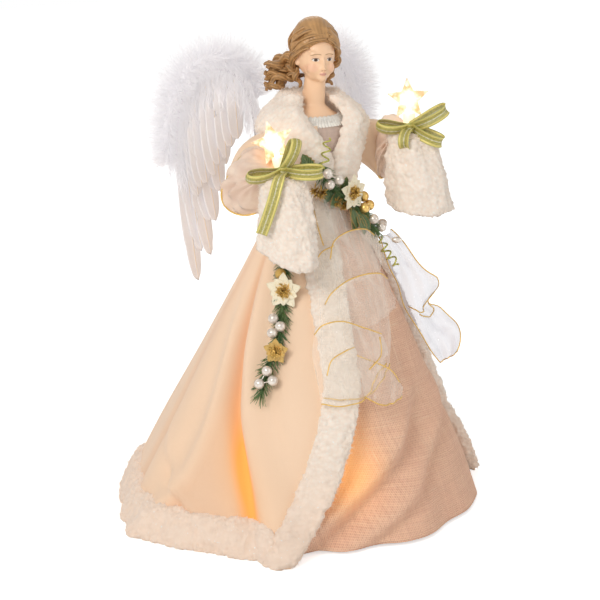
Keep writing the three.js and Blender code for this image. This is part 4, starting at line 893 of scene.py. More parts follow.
class TopperColours(bpy.types.PropertyGroup):
    robe: colour("Robe", (0.94, 0.69, 0.49), "Heavy cloth of the robe")
    sleeve: colour("Sleeve", (0.9, 0.68, 0.49), "Cloth of the wide sleeves")
    skirt: colour("Skirt", (1.0, 0.56, 0.39), "Open weave of the underskirt")
    bodice: colour("Bodice", (0.72, 0.55, 0.46), "Taupe cloth of the bodice")
    pile: colour("Pile", (0.97, 0.88, 0.78), "Curled pile of the trimmings")
    feather: colour("Feather", (0.95, 0.93, 0.94), "Wing feathers and down")
    hair: colour("Hair", (0.5, 0.27, 0.1), "Painted hair")
    skin: colour("Skin", (0.95, 0.63, 0.4), "Painted skin")
    blush: colour("Blush", (0.88, 0.44, 0.3), "Paint on the cheeks")
    lips: colour("Lips", (0.66, 0.3, 0.24), "Paint on the lips")
    ribbon: colour("Ribbon", (0.43, 0.4, 0.07), "Green ribbon of the bows")
    organza: colour("Organza", (0.95, 0.89, 0.8), "Sheer organza")
    pine: colour("Pine", (0.07, 0.15, 0.05), "Pine needles of the garland")
    leaf: colour("Leaf", (0.08, 0.15, 0.05), "Cloth leaves")
    petal: colour("Petal", (0.95, 0.87, 0.66), "Cream petals")
    pearl: colour("Pearl", (0.78, 0.72, 0.64), "Pearls")
    gold: colour("Gold", (0.82, 0.54, 0.16), "Gold paint, wire and glitter")


def length(name, default, low, high, about):
    return FloatProperty(
        name=name, description=about, default=default, min=low, max=high, unit="LENGTH", precision=4
    )


class TopperSizes(bpy.types.PropertyGroup):
    curl: length("Curl", 0.0037, 0.001, 0.01, "Width of one curl of the pile")
    curl_height: length("Curl height", 0.0019, 0.0, 0.005, "How far a curl stands up")
    weave: length("Weave", 0.0015, 0.0003, 0.005, "Distance between threads of the underskirt")
    down: IntProperty(
        name="Down", description="Strands of down on each wing", default=17000, min=100, max=20000
    )
    down_length: length("Down length", 0.019, 0.002, 0.05, "Length of a strand of down")
    needle: length("Needle", 0.0115, 0.002, 0.03, "Length of a pine needle")


def colours():
    return bpy.context.scene.topper_colours


def sizes():
    return bpy.context.scene.topper_sizes


# Stage

# The camera: degrees, metres, and millimetres of lens and sensor
AZIMUTH, ELEVATION, DISTANCE = -40, 14, 1.575
AIM_HEIGHT, AIM_ASIDE = 0.172, 0.0041
FOCAL_LENGTH, SENSOR = 113.94, 36


def lamp(name, place, size, power, tint=(1, 1, 1)):
    """A soft square lamp that shines at the figure's middle."""
    light = bpy.data.lights.new(name, "AREA")
    light.size, light.energy, light.color = size, power, tint
    obj = bpy.data.objects.new(name, light)
    obj.location = place
    obj.rotation_euler = (up(0.2) - Vector(place)).to_track_quat("-Z", "Y").to_euler()
    bpy.context.scene.collection.objects.link(obj)


def shows_white(tree, dim):
    """A colour that is dim to lamps and white to the camera, to gloss and through glass."""
    path = tree.nodes.new("ShaderNodeLightPath")
    seen = Tone(tree, path.outputs["Is Camera Ray"])
    seen = seen.most(Tone(tree, path.outputs["Is Glossy Ray"]))
    seen = seen.most(Tone(tree, path.outputs["Is Transmission Ray"]))
    return seen * (1.0 - dim) + dim


class TOPPER_OT_stage(bpy.types.Operator):
    """Adds the camera, the lamps, the pale world and the floor"""

    bl_idname = "topper.stage"
    bl_label = "Stage"

    def execute(self, context):
        scene = context.scene
        scene.view_settings.view_transform = "Standard"
        level, rise = polar(ELEVATION)
        ahead, aside = polar(AZIMUTH)
        back = Vector((aside * level, -ahead * level, rise))
        aim = up(AIM_HEIGHT) - AIM_ASIDE * Vector((ahead, aside, 0))
        lens = bpy.data.cameras.new("camera")
        lens.lens, lens.sensor_width = FOCAL_LENGTH, SENSOR
        camera = bpy.data.objects.new("camera", lens)
        camera.location = aim + back * DISTANCE
        camera.rotation_euler = (-back).to_track_quat("-Z", "Y").to_euler()
        scene.collection.objects.link(camera)
        scene.camera = camera

        world = bpy.data.worlds.new("studio")
        world.use_nodes = True
        scene.world = world
        ground = world.node_tree.nodes["Background"]
        ground.inputs["Color"].default_value = (1, 1, 1, 1)
        feed(world.node_tree, ground.inputs["Strength"], shows_white(world.node_tree, 0.48))
        lamp("key", (-1.7, -0.7, 1.3), 0.8, 19, (1, 0.97, 0.94))
        lamp("fill", (0.9, -1.9, 0.8), 1.0, 5, (1, 0.96, 0.92))
        lamp("back", (0.9, 1.5, 1.5), 1.2, 8)

        bm = bmesh.new()
        bmesh.ops.create_grid(bm, x_segments=2, y_segments=2, size=4)
        mesh = bpy.data.meshes.new("floor")
        bm.to_mesh(mesh)
        bm.free()
        paper = Finish("Floor paper", roughness=1.0, specular_ior_level=0.0)
        fibre = paper.noise(40, 2)
        paper.set(base_color=paper.mix(fibre, (0.93, 0.93, 0.93), (0.95, 0.95, 0.95)))
        paper.set(emission_color=(1, 1, 1, 1), emission_strength=shows_white(paper.tree, 0.0) * 0.6)
        mesh.materials.append(paper.material)
        floor = bpy.data.objects.new("floor", mesh)
        scene.collection.objects.link(floor)
        return {"FINISHED"}


# Cloth of the body


# Height and angle of the robe's deepest fold, and of the ridge behind it
VALLEY = (
    (0, -54), (16, -56), (44, -60.5), (74, -67.5), (98, -74), (123, -77.5), (155, -83),
    (200, -88), (262, -90),
)
RIDGE = (
    (0, -97), (28, -91), (50, -86), (77, -83), (103, -83), (133, -86), (200, -97), (262, -100),
)


def read_at(rows, z):
    """The second number of a table at a value of its first, rounded at the rows."""
    total = 0
    for shift in (-9, 0, 9):
        for (z0, a0), (z1, a1) in zip(rows, rows[1:]):
            if z + shift <= z1 or z1 == rows[-1][0]:
                total += lerp(a0, a1, clamp((z + shift - z0) / (z1 - z0)))
                break
    return total / 3


def far_fold(z):
    return -118 + 0.03 * z


def robe_crease(angle, z):
    """Finer folds of the robe, over the main ones."""
    drop, valley_at, ridge_at = drop_at(z), read_at(VALLEY, z), read_at(RIDGE, z)
    valley = -9.5 * bump(angle, valley_at, 3.4) * clamp(3.6 * drop - 0.4) * bump(z, 90, 130)
    lip = 6.4 * bump(angle, valley_at + 8.5, 5) - 3 * bump(angle, valley_at + 19, 5)
    ridge = 6 * bump(angle, ridge_at, 3.6) - 3.4 * bump(angle, ridge_at - 9, 5)
    beside = lip * clamp(2.4 * drop - 0.4) + ridge * clamp(2.6 * drop - 0.6)
    slant = 0.55 * (z - 30)
    pinch = 5.5 * bump(angle, -79 - slant, 2.8) * bump(z, 40, 26)
    pinch -= 3.5 * bump(angle, -87 - slant, 3.4) * bump(z, 38, 26)
    far = -4.5 * bump(angle, far_fold(z), 5) * clamp(2.6 * drop - 0.9)
    behind = clamp((-125 - angle) / 25) * clamp((angle + 290) / 20) * clamp(1.8 * drop - 0.3)
    behind *= 2.6 * math.sin(math.radians(angle) * 11 + 2.5 * rumple(angle * 0.02, z * 0.006, 8))
    soft = 2.4 * drop * rumple(angle * 0.06, z * 0.008, 2)
    return valley + beside + pinch + far + behind + soft


def robe_point(angle, z, off):
    return on_figure(angle, z, off, HEM, robe_fold(angle, z) + robe_crease(angle, z))


def cloth_map(angle_of, height_of, middle, hem=HEM):
    """The flat map of cloth hung round the figure: its length round and its height, in metres."""

    def flat(u, v):
        z = height_of(v)
        wide = figure_at(z, hem)[0]
        return math.radians(angle_of(u, v) - middle) * wide * MM, z * MM

    return flat


class TOPPER_OT_robe(bpy.types.Operator):
    """Adds the open robe of heavy ivory cloth"""

    bl_idname = "topper.robe"
    bl_label = "Robe"

    def execute(self, context):
        def height(v):
            return ROBE_TOP * v

        def angle(u, v):
            z = height(v)
            return lerp(right_edge(z), left_rim(z) - 360, u)

        def glow(u, v):
            """Painted light of the hidden lamps in the deepest fold."""
            z = height(v)
            away = angle(u, v) - read_at(VALLEY, z)
            core = bump(away, -0.6, 3.1) * (bump(z, 56, 25) + 0.2 * bump(z, 100, 34))
            halo = 0.2 * bump(away, -1, 9) * bump(z, 56, 36)
            return clamp(core + halo + 0.45 * bump(away, 0, 3.5) * bump(z, 22, 16))

        def painted_fold_shade(u, v):
            """Painted warm shade where folds face each other."""
            z, a = height(v), angle(u, v)
            away = a - read_at(VALLEY, z)
            flank = clamp((a - read_at(RIDGE, z)) / 5) * clamp(-away / 6) * bump(z, 60, 75)
            hollow = bump(away, -0.8, 3) + 0.45 * flank + 0.45 * bump(a, far_fold(z), 6)
            return 0.8 * clamp(hollow) * clamp(4 * drop_at(z)) + 0.06 * bump(z, 60, 90)

        bm = shape(
            280, 110, lambda u, v: robe_point(angle(u, v), height(v), ROBE_MIDDLE),
            cloth=cloth_map(angle, height, -160), marks={"glow": glow, "painted_fold_shade": painted_fold_shade},
        )
        robe = piece("robe_cloth", bm, robe_finish(colours()), "ivory_cloth", nodes=["robe"], wall=1.8)
        return {"FINISHED"}


# Diagonal folds of the underskirt: height, angle at the hem, how far round each millimetre up
# takes it, and width in degrees
DIAGONALS = ((9, -51, 0.66, 6.5), (-8, -37, 0.66, 7), (6, -29, 0.8, 7), (-4, -16, 0.8, 7))


class TOPPER_OT_underskirt(bpy.types.Operator):
    """Adds the dusty rose underskirt, the bodice and the lace at its neck"""

    bl_idname = "topper.underskirt"
    bl_label = "Underskirt and bodice"

    def execute(self, context):
        c = colours()

        def height(v):
            return lerp(UNDER_LIFT, WAIST, v)

        def angle(u, v):
            z = height(v)
            return lerp(right_edge(z) - 14, left_edge(z) + 14, u)

        def skirt(u, v):
            z, a = height(v), angle(u, v)
            drop, at_corner = drop_at(z), bump(a, 53, 16)
            folds = sum(h * bump(a, foot + climb * z, w) for h, foot, climb, w in DIAGONALS)
            folds *= clamp(2.2 - z / 60)
            corner = 17 * drop**0.95 * (1 - 0.52 * drop * drop) * at_corner
            ripple = under_fold(a, z) * (1 - at_corner) + corner
            ripple += drop * (folds + 2.6 * rumple(a * 0.06, z * 0.012, 5))
            return on_figure(a, z, 1.1, UNDER_HEM, ripple)

        bm = shape(200, 120, skirt, cloth=cloth_map(angle, height, 10, UNDER_HEM))
        cloth = linen_finish("Rose open weave", c.skirt, sizes().weave, glow=True)
        front = piece("underskirt_cloth", bm, cloth, "rose_linen", nodes=["underskirt"], wall=1.2)

        def bodice(u, v):
            z, a = lerp(WAIST + 0.3, WAIST + 0.78 * TORSO, v), lerp(-70, 70, u)
            return on_figure(a, z, 1.1 + 0.25 * rumple(a * 0.1, z * 0.08, 1))

        bm = shape(60, 36, bodice, cloth=lambda u, v: (u * 0.07, v * 0.06))
        taupe = linen_finish("Taupe cloth", c.bodice, 0.0009)
        front = piece("bodice_cloth", bm, taupe, "taupe_cloth", nodes=["bodice"], wall=1.0)

        def lace(u, v):
            z = WAIST + lerp(0.775, 0.875, v) * TORSO + 1.1 * abs(arch(14 * u)) * v
            return on_figure(lerp(-74, 74, u), z, 1.6 + 0.8 * wave(28 * u) * (1 - v))

        bm = shape(220, 12, lace, cloth=lambda u, v: (u * 0.085, v * 0.0085))
        f = Finish("Cream lace", roughness=0.85, sheen_weight=0.2)
        net = f.cells(1500, at=f.flat(), feature="DISTANCE_TO_EDGE")
        _, y, _ = f.parts(f.flat())
        f.set(alpha=1 - net.step(0.16, 0.22) * y.step(0.0026, 0.0034) * 0.9)
        f.set(base_color=f.mix(net.step(0, 0.3), (0.96, 0.93, 0.86), (0.85, 0.8, 0.72)))
        f.bump(1 - net, 0.3, 1.0)
        band = piece("lace_edge", bm, f.material, "lace", nodes=["neckline_lace"], wall=0.7)
        return {"FINISHED"}


# Pile trimmings


# How far pile stands off its cloth, and the widths of the hem's band and of the front ones
PILE_RISE, HEM_BAND, FRONT_BAND = 6.6, 28.0, 29.5


def furred(name, bm, node, tufts, seeds, fibre=2.6, coarser=(1.0, 1.0)):
    """Curls a closed skin into pile, adds loose fibres and keeps it all above the floor."""
    bmesh.ops.recalc_face_normals(bm, faces=bm.faces)
    s = sizes()
    curl_pile(bm, s.curl / MM * coarser[0], s.curl_height / MM * coarser[1], seeds[0])
    bm.normal_update()
    whole = join([bm, fibres(bm, tufts, fibre, 0.3, random.Random(seeds[1]))])
    for v in whole.verts:
        v.co.z = max(v.co.z, 0.1)
    finish = bpy.data.materials.get("Curled pile") or pile_finish(colours())
    piece(name, whole, finish, "sherpa", nodes=[node], turn=False)


def pile_strip(name, around, along, place, node, seed, tufts, wrap=None):
    """A rounded band of pile: place(share across, height share, share along) lays its section.

    wrap(share across, share along) says how far it also stands out behind its cloth.
    """

    def skin(u, v):
        c, s = polar(360 * u)
        across = 0.5 + 0.5 * math.copysign(abs(c) ** 0.7, c)
        under = 0.12 + (wrap(across, v) if wrap else 0)
        height = abs(s) ** 0.6 if s > 0 else -under * abs(s) ** 0.6
        taper = clamp(min(v, 1 - v) * along / 6 + 0.25) ** 0.5
        return place(0.5 + (across - 0.5) * taper, height * taper, v)

    bm = shape(around, along, skin, ring=True, ends=True)
    furred(name, bm, node, tufts, (seed, seed))


def on_band(angle, z, height):
    return robe_point(angle, z, ROBE_OUTER - 0.3 + PILE_RISE * height)


# Angle and share of the torso's height along the right half of the collar, from the waist back
COLLAR_HALF = ((39, 0.04), (38, 0.28), (45, 0.48), (59, 0.64), (88, 0.76), (128, 0.84))


def front_band(sign, across, height, v):
    z = WAIST * v
    edge = right_edge(z) if sign < 0 else left_rim(z) - 360
    return on_band(edge + sign * band_degrees(z, FRONT_BAND) * (across - 0.09), z, height)


def folded_back(across, v):
    """How far a front band also covers the inside of the robe's edge."""
    return 0.95 * clamp((0.4 - across) / 0.2) * clamp(1.5 - 1.6 * v)


def collar_route():
    """Angles and heights above the waist, from the right front round the neck to the left one."""
    points = [(-a, share * TORSO, 0) for a, share in COLLAR_HALF]
    points.append((-180, 0.87 * TORSO, 0))
    return Path(points + [(a - 360, share * TORSO, 0) for a, share in reversed(COLLAR_HALF)], 120)


def collar_band(route, across, height, v):
    """The shawl collar, which stands up behind the neck and is wider in front."""
    p, t = route.at(v), route.tangent(v)
    size = figure_at(WAIST + p.y)
    degree = math.radians(1) * (size[0] + size[1]) * 0.5
    way = Vector((t.x * degree, t.y, 0)).normalized()
    wider = (5 if v < 0.5 else 11) * abs(2 * v - 1) ** 0.7
    reach = lerp(-15.5 - wider, 15.5, across) * lerp(0.72, 1, arch(v))
    a, z = p.x - way.y * reach / degree, WAIST + p.y + way.x * reach
    point = on_figure(a, min(z, WAIST + 0.98 * TORSO), ROBE_OUTER - 0.4 + 9.4 * height)
    stand = clamp((p.y / TORSO - 0.42) / 0.4)
    point.z += (4 * max(0, height) + 9 * (1 - across)) * stand
    return point + outwards(point) * (3.5 * stand * height)


class TOPPER_OT_trimmings(bpy.types.Operator):
    """Adds the curled pile along the hem, the front edges and the collar"""

    bl_idname = "topper.trimmings"
    bl_label = "Pile trimmings"

    def execute(self, context):
        start = right_edge(0) - 0.45 * band_degrees(0)
        end = left_edge(0) - 360 + band_degrees(0)

        def hem(across, height, v):
            return on_band(lerp(start, end, v), HEM_BAND * across, height)

        pile_strip("hem_pile", 56, 560, hem, "hem_fur", 3, 9000)
        for side, sign in SIDES.items():
            band, node = partial(front_band, sign), "front_fur_" + side
            pile_strip("front_pile_" + side, 60, 230, band, node, 5 + sign, 5500, folded_back)
        collar = partial(collar_band, collar_route())
        pile_strip("collar_pile", 60, 300, collar, "fur_collar", 9, 8000)
        return {"FINISHED"}


# Rows from the shoulder out and from the cuff's mouth down, all in shares of the arm: the middle,
# half the width and half the depth, then a sleeve's heading in degrees or a cuff's tilt
SLEEVES = {
    "right": [
        (-0.37, 0, -0.02, 0.12, 0.13, 80), (-0.52, -0.02, -0.06, 0.15, 0.19, 62),
        (-0.64, -0.07, -0.15, 0.16, 0.24, 42), (-0.7, -0.12, -0.25, 0.155, 0.26, 22),
    ],
    "left": [
        (0.37, 0, -0.02, 0.12, 0.13, -80), (0.51, -0.02, -0.04, 0.15, 0.18, -62),
        (0.62, -0.06, -0.09, 0.16, 0.22, -42), (0.68, -0.11, -0.14, 0.155, 0.24, -22),
    ],
}
CUFFS = {
    "right": [
        (-0.665, -0.43, -0.135, 0.115, 0.115, 0), (-0.665, -0.435, -0.17, 0.165, 0.17, 0.01),
        (-0.66, -0.44, -0.3, 0.19, 0.22, 0.04), (-0.65, -0.46, -0.55, 0.19, 0.25, 0.08),
        (-0.65, -0.46, -0.8, 0.2, 0.27, 0.09),
    ],
    "left": [
        (0.64, -0.46, 0.075, 0.115, 0.115, 0), (0.645, -0.465, 0.04, 0.17, 0.17, 0.005),
        (0.66, -0.475, -0.08, 0.21, 0.22, 0.01), (0.69, -0.49, -0.3, 0.235, 0.25, 0.02),
        (0.71, -0.5, -0.58, 0.255, 0.27, 0.03),
    ],
}


def smooth_rows(rows, v):
    """Like along_rows, with the bends between rows rounded."""
    near = [along_rows(rows, clamp(v + d)) for d in (-0.06, 0, 0.06)]
    return [sum(values) / 3 for values in zip(*near)]


def sleeve_point(side, u, v, grow=0.0):
    row = smooth_rows(SLEEVES[side], v)
    facing = math.radians(row[5])
    sideways = Vector((math.cos(facing), -math.sin(facing), 0))
    c, s = polar(360 * u, row[3] * ARM + grow, row[4] * ARM + grow)
    return arm_place(row) + sideways * c + up(s)


def cuff_point(side, u, v, grow=0.0):
    row = smooth_rows(CUFFS[side], v)
    c, s = polar(360 * u)
    wide, deep = row[3] * ARM + grow, row[4] * ARM + grow
    return arm_place(row) + Vector((wide * c, deep * s, row[5] * ARM * s))


def sleeve_skin(side, u, v):
    fold = 1.5 * v * wave(3 * u + 0.4 * v) + 1.4 * v * rumple(6 * u, 2 * v, 3 + len(side))
    point = sleeve_point(side, u, v, fold - 0.6)
    if side == "right":
        away = (u - 0.56 + 0.5) % 1 - 0.5
        point += Vector((-4.5, 15, -3)) * (bump(away, 0, 0.17) * v**1.6)
    return point


def lining_skin(side, u, v):
    """Cloth that closes the sleeve's mouth and goes puffed into the cuff."""
    rim, mouth = sleeve_skin(side, u, 0.97), arm_place(smooth_rows(CUFFS[side], 0.05))
    c, s = polar(360 * u, 9.4)
    t = v * v * (3 - 2 * v)
    point = rim.lerp(mouth + Vector((c, -s, -1.5)), t)
    middle = mouth.lerp(arm_place(smooth_rows(SLEEVES[side], 1)), 1 - t)
    pleat = 1.9 * math.sin(math.tau * (8 * u + 1.1 * v) + 3 * wave(2 * u))
    for scale, depth in ((9, 9), (18, 5)):
        wrinkle = rumple(scale * (u + 0.3 * v), 0.3 * scale * v, SIDES[side])
        pleat += depth * (0.25 - abs(wrinkle))
    out = 3.2 * arch(v) ** 0.8 + pleat * arch(min(1, 0.08 + v))
    return point + (point - middle).normalized() * out + up(1.5 * arch(v))


def cuff_skin(side, u, v):
    """The outer skin down to the mouth, then the inner one back up."""
    if v >= 0.5:
        w = 2 - 2 * v
        return cuff_point(side, u, max(w, 0.02), -4.2 + 1.6 * bump(w, 1, 0.06))
    lump = 2.6 * rumple(*polar(360 * u, 2.2), 5 * v + SIDES[side])
    lump = (lump - 2.2 * bump(u, 0.7, 0.025) * (1 - 1.4 * v)) * min(1, 5 * v)
    if side == "left":
        lump += 4.5 * bump(u, 0.889, 0.03) * bump(v, 0.49, 0.045)
    return cuff_point(side, u, 2 * v, lump - 0.8 * bump(v, 0.5, 0.03))


def sleeve_finish(s):
    f = Finish("Sleeve cloth", sheen_weight=0.3, specular_ior_level=0.35)
    crease = f.noise(60, 3, at=f.stretch((1, 0.4, 1)))
    weave = f.noise(1400, 2)
    # Painted shade: darker in stretched streaks, as in creases.
    tone = f.mix(crease * 0.6, s.sleeve, shaded(s.sleeve, 0.9))
    # Painted light: warm light of the right candle's lamp on the cloth near it.
    tone = f.mix(f.near((-60, -30, 300), 46) ** 1.5 * 0.5, tone, (1.0, 0.62, 0.34))
    f.set(base_color=tone, roughness=0.55 + weave * 0.2)
    return f.bump(weave + crease, 0.3, 0.6).material


def satin_finish():
    """Lining of the sleeves, with painted crease shade and painted warm light near the lamps of the
    candles.
    """
    f = Finish("Sleeve satin", sheen_weight=0.3, specular_ior_level=0.5)
    crease = f.noise(70, 3, at=f.stretch((1, 0.4, 1)))
    right, left = f.near((-62, -48, 305), 34), f.near((64, -50, 322), 20)
    warm = (right**1.3 + left**1.3 * 0.5).least(1.0)
    # Painted shade: darker in stretched streaks, as in creases.
    tone = f.mix(crease.step(0.3, 0.7), (0.9, 0.74, 0.6), (0.74, 0.54, 0.42))
    # Painted light of the candles' lamps, warm on the satin near them.
    f.set(base_color=f.mix(warm * 0.85, tone, (1.0, 0.55, 0.25)), roughness=0.38 + crease * 0.25)
    return f.bump(crease + f.noise(900, 2) * 0.3, 0.4, 0.6).material


class TOPPER_OT_sleeves(bpy.types.Operator):
    """Adds the wide sleeves with their gold wired edges, and the pile cuffs"""

    bl_idname = "topper.sleeves"
    bl_label = "Sleeves and cuffs"

    def execute(self, context):
        cloth, satin, gold = sleeve_finish(colours()), satin_finish(), gold_finish(colours())
        for side, sign in SIDES.items():
            sleeve, node = partial(sleeve_skin, side), "sleeve_" + side
            bm = shape(96, 60, sleeve, ring=True, cloth=lambda u, v: (u * 0.12, v * 0.05))
            made = piece("sleeve_cloth_" + side, bm, cloth, "ivory_cloth", nodes=[node], wall=0.9)
            lining = partial(lining_skin, side)
            bm = shape(110, 36, lining, ring=True, cloth=lambda u, v: (u * 0.12, v * 0.04))
            inner = piece("sleeve_lining_" + side, bm, satin, "ivory_cloth", wall=0.5)
            rim = Path([sleeve(i / 48, 1.0) for i in range(49)], 180, smooth=False)
            wire = pipe(rim, 0.75, 6, 180, ends=False)
            piece("sleeve_edge_" + side, wire, gold, "gold_paint")
            bm = shape(110, 130, partial(cuff_skin, side), ring=True, ends=True)
            seeds = 11 + sign, 21 + sign
            furred("cuff_pile_" + side, bm, "cuff_" + side, 5000, seeds, 2.8, (1.05, 1.1))
        return {"FINISHED"}


# Head and hair

FACE = Matrix.Translation((0, -13, 374)) @ Matrix.Rotation(math.radians(-19), 4, "Z")


# The rounded forms that the head is fused from, each its middle and its half sizes
HEAD_FORMS = (
    ((0, 1, 3), (15.3, 18.3, 19)), ((0, -5.2, -7), (11.3, 12, 11.6)),
    ((0, -13.6, -14.6), (3.9, 3.7, 3.4)), ((0, -16.9, -3.2), (1.35, 2.3, 5.0)),
    ((0, -18.9, -6.9), (1.75, 1.9, 1.45)), ((0, -15.9, -11.3), (3.0, 1.9, 1.7)),
)
SIDE_FORMS = (
    ((1.6, -17.3, -7.5), (1.15, 1.3, 0.95)), ((6.3, -11.2, -6.8), (5.2, 4.4, 5.6)),
    ((5.4, -13.4, 5.0), (5.2, 2.9, 2.6)), ((5.8, -13.15, 0), (2.9, 2.4, 2.1)),
    ((14.9, 2.5, -1.6), (1.7, 2.9, 4.6)),
)
# Strokes that finish it, each a place, a reach and a shift: the lips and chin, then eyes and ears
MOUTH_STROKES = (
    ((0, -17.0, -10.7), 0.95, (0, -0.75, 0.15)), ((0, -16.8, -12.2), 0.95, (0, -0.7, -0.05)),
    ((0, -18.4, -11.4), 0.55, (0, 0.45, 0)), ((0, -15.6, -13.6), 1.1, (0, 0.45, 0)),
)
SIDE_STROKES = (
    ((2.6, -15.6, 1.4), 1.4, (0, 1.0, 0)), ((5.8, -15.9, 2.6), 1.5, (0, 0.75, 0)),
    ((5.8, -15.2, -2.6), 1.6, (0, 0.45, 0)), ((16.2, 1.6, -1.2), 1.7, (-0.9, 0, 0)),
    ((1.5, -17.9, -11.4), 0.9, (0, -0.3, 0)),
)


def mirrored(sign, place):
    x, y, z = place
    return Vector((x * sign, y, z))


class TOPPER_OT_head(bpy.types.Operator):
    """Adds the cast and painted head, neck and shoulders, and paints the hands"""

    bl_idname = "topper.head"
    bl_label = "Head and hands"

    def execute(self, context):
        parts = [egg(*form) for form in HEAD_FORMS]
        strokes = [*MOUTH_STROKES]
        for sign in SIDES.values():
            parts += [egg(mirrored(sign, p), radii) for p, radii in SIDE_FORMS]
            strokes += [(mirrored(sign, p), r, mirrored(sign, w)) for p, r, w in SIDE_STROKES]
        face = join(parts)
        moved(face, FACE)
        neck = Path([(0, -9, 322), (0, -10.5, 340), (0, -12.5, 358), (0, -13, 366)], 20)
        neck_pipe = pipe(neck, lambda t: lerp(10.2, 8.3, t**0.6), 24, 16)

        def shoulders(u, v):
            return on_figure(360 * u, WAIST + lerp(0.66, 1.14, v) * TORSO, 0)

        bust = shape(48, 24, shoulders, ring=True, ends=True)
        skin = fused(join([face, neck_pipe, bust]), 0.62, 5)
        push(skin, [(FACE @ Vector(p), r, FACE.to_3x3() @ Vector(w)) for p, r, w in strokes])
        soften(skin, 1)
        flat, to_face = skin.loops.layers.uv.new("flat"), FACE.inverted()
        for side in skin.faces:
            for loop in side.loops:
                local = to_face @ loop.vert.co
                loop[flat].uv = (local.x / FACE_SPAN + 0.5, local.z / FACE_SPAN + 0.5)
        c = colours()
        finish = skin_finish(c, True)
        piece("head_cast", skin, finish, "painted_resin", nodes=["head_bust"], turn=False)
        plain = skin_finish(c, False)
        for side in SIDES:
            paint("hand_" + side, plain)
        return {"FINISHED"}


def lock(points, radius, seed, flatness, around=14, along=60, curl=0.0, turns=2.0):
    """One modelled lock: a tapering, grooved strand that may wind round its own route."""
    route = Path(points, 90)
    if curl:
        steps = [i / 60 for i in range(61)]
        route = Path([route.around(t, turns * t + seed, curl * min(1, 3 * t)) for t in steps], 90)

    def ridge(u, v):
        return wave(5 * u + 0.4 * v + seed)

    def skin(u, v):
        size = radius * (0.25 + 0.75 * arch(min(1, 0.12 + 0.84 * v)) ** 0.7)
        squash = 1 - (1 - flatness) * abs(wave(u))
        return route.around(v, u + 0.35 * v, size * (1 + 0.11 * ridge(u, v)) * squash)

    marks = {"groove": lambda u, v: 0.5 - 0.5 * ridge(u, v)}
    return shape(around * 2, along, skin, ring=True, ends=True, marks=marks)


# Rows of combed locks from the brow back over the crown: places beside the parting, and thickness
COMBED = (
    ([(2, -15.6, 16.6), (8, -14.4, 14.8), (13, -10.6, 11.4), (16.5, -5.2, 6.4), (17.7, 2, 0.5)], 2.6),
    ([(2.5, -13, 20.6), (9, -11.6, 18.6), (14, -7.6, 15), (17.4, -1.5, 9), (18, 6, 2.5)], 2.9),
    ([(2.5, -9, 24.6), (9.5, -7.6, 22.2), (15, -3.4, 17.6), (17.8, 3, 11), (17.6, 9, 4.5)], 3.1),
    ([(2, -3, 27.6), (9, -2, 25.4), (14.6, 2, 20.4), (17.3, 8, 13.6), (16.4, 13.5, 6)], 3.2),
    ([(1.5, 4, 29), (8, 5, 27), (13.6, 8.6, 21.6), (15.8, 13.4, 14), (14, 17.5, 6)], 3.2),
)
# Curls beside the left cheek and on the neck: places, thickness and how far they wind out
NECK_CURLS = (
    ([(15, -6, 8), (18.6, -3, 3), (18.2, 0, -4), (16, 4, -9)], 2.5, 1.6),
    ([(15.5, -2, 2), (19, 0.5, -3), (17, 4, -9), (14, 7, -14)], 2.3, 1.6),
    ([(13, 6, -10), (14.5, 3, -15), (12.5, 1, -20), (14, 3, -23)], 2.1, 1.4),
    ([(-13, 6, -8), (-15, 5, -14), (-13, 6, -19), (-10, 9, -23)], 2.4, 1.4),
)
HAIR_MIDDLE, HAIR_RADII, HAIR_WIDEST = Vector((0, 2.4, 5.2)), Vector((17.6, 20.0, 24.2)), 84


def hair_waves(u, v):
    """Broad and fine waves of the combed hair."""
    across = math.radians(HAIR_WIDEST * (2 * u - 1))
    sway = 2.4 * math.sin(5 * v + 3 * u) + 3 * rumple(2.5 * u, 2 * v, 4)
    return math.sin(8 * across + 1.4 * sway), math.sin(36 * across + 2.6 * sway + 3 * v)


def hair_groove(u, v):
    broad, fine = hair_waves(u, v)
    return clamp(0.2 - 0.1 * broad - 0.13 * fine)


def combed_hair(u, v):
    """Hair from the brow over the crown to the nape; it drifts to the figure's right."""
    share = 2 * u - 1
    turn = HAIR_WIDEST * share - 13 * arch(min(1, 0.9 * v)) * (1 - share * share)
    brow, nape = 23 - 34 * abs(share) ** 1.7 + 3 * share, 226 - 24 * share * share
    beside, aside = polar(turn)
    ahead, over = polar(lerp(brow, nape, v))
    broad, fine = hair_waves(u, v)
    roll = (1.7 * bump(v, 0.1, 0.07) - 1.3 * bump(v, 0.24, 0.07)) * clamp(2.2 * abs(share) - 0.4)
    lift = 2.9 * min(1, v / 0.045, (1 - v) / 0.06) ** 0.5 - 2.1 + 0.17 * broad + 0.07 * fine + roll
    lift += 0.9 * rumple(3 * u, 3 * v, 7) + 2.8 * bump(v, 0.42, 0.2)
    lift -= bump(turn, 21, 3) * clamp(1 - 2.4 * v)
    way = (aside, -beside * ahead, beside * over)
    return HAIR_MIDDLE + Vector([way[i] * (HAIR_RADII[i] + lift) for i in range(3)])


def hanging(start, reach, sway, turn_at=0.8):
    return [start, start + reach * 0.4 + Vector(sway), start + reach * turn_at, start + reach]


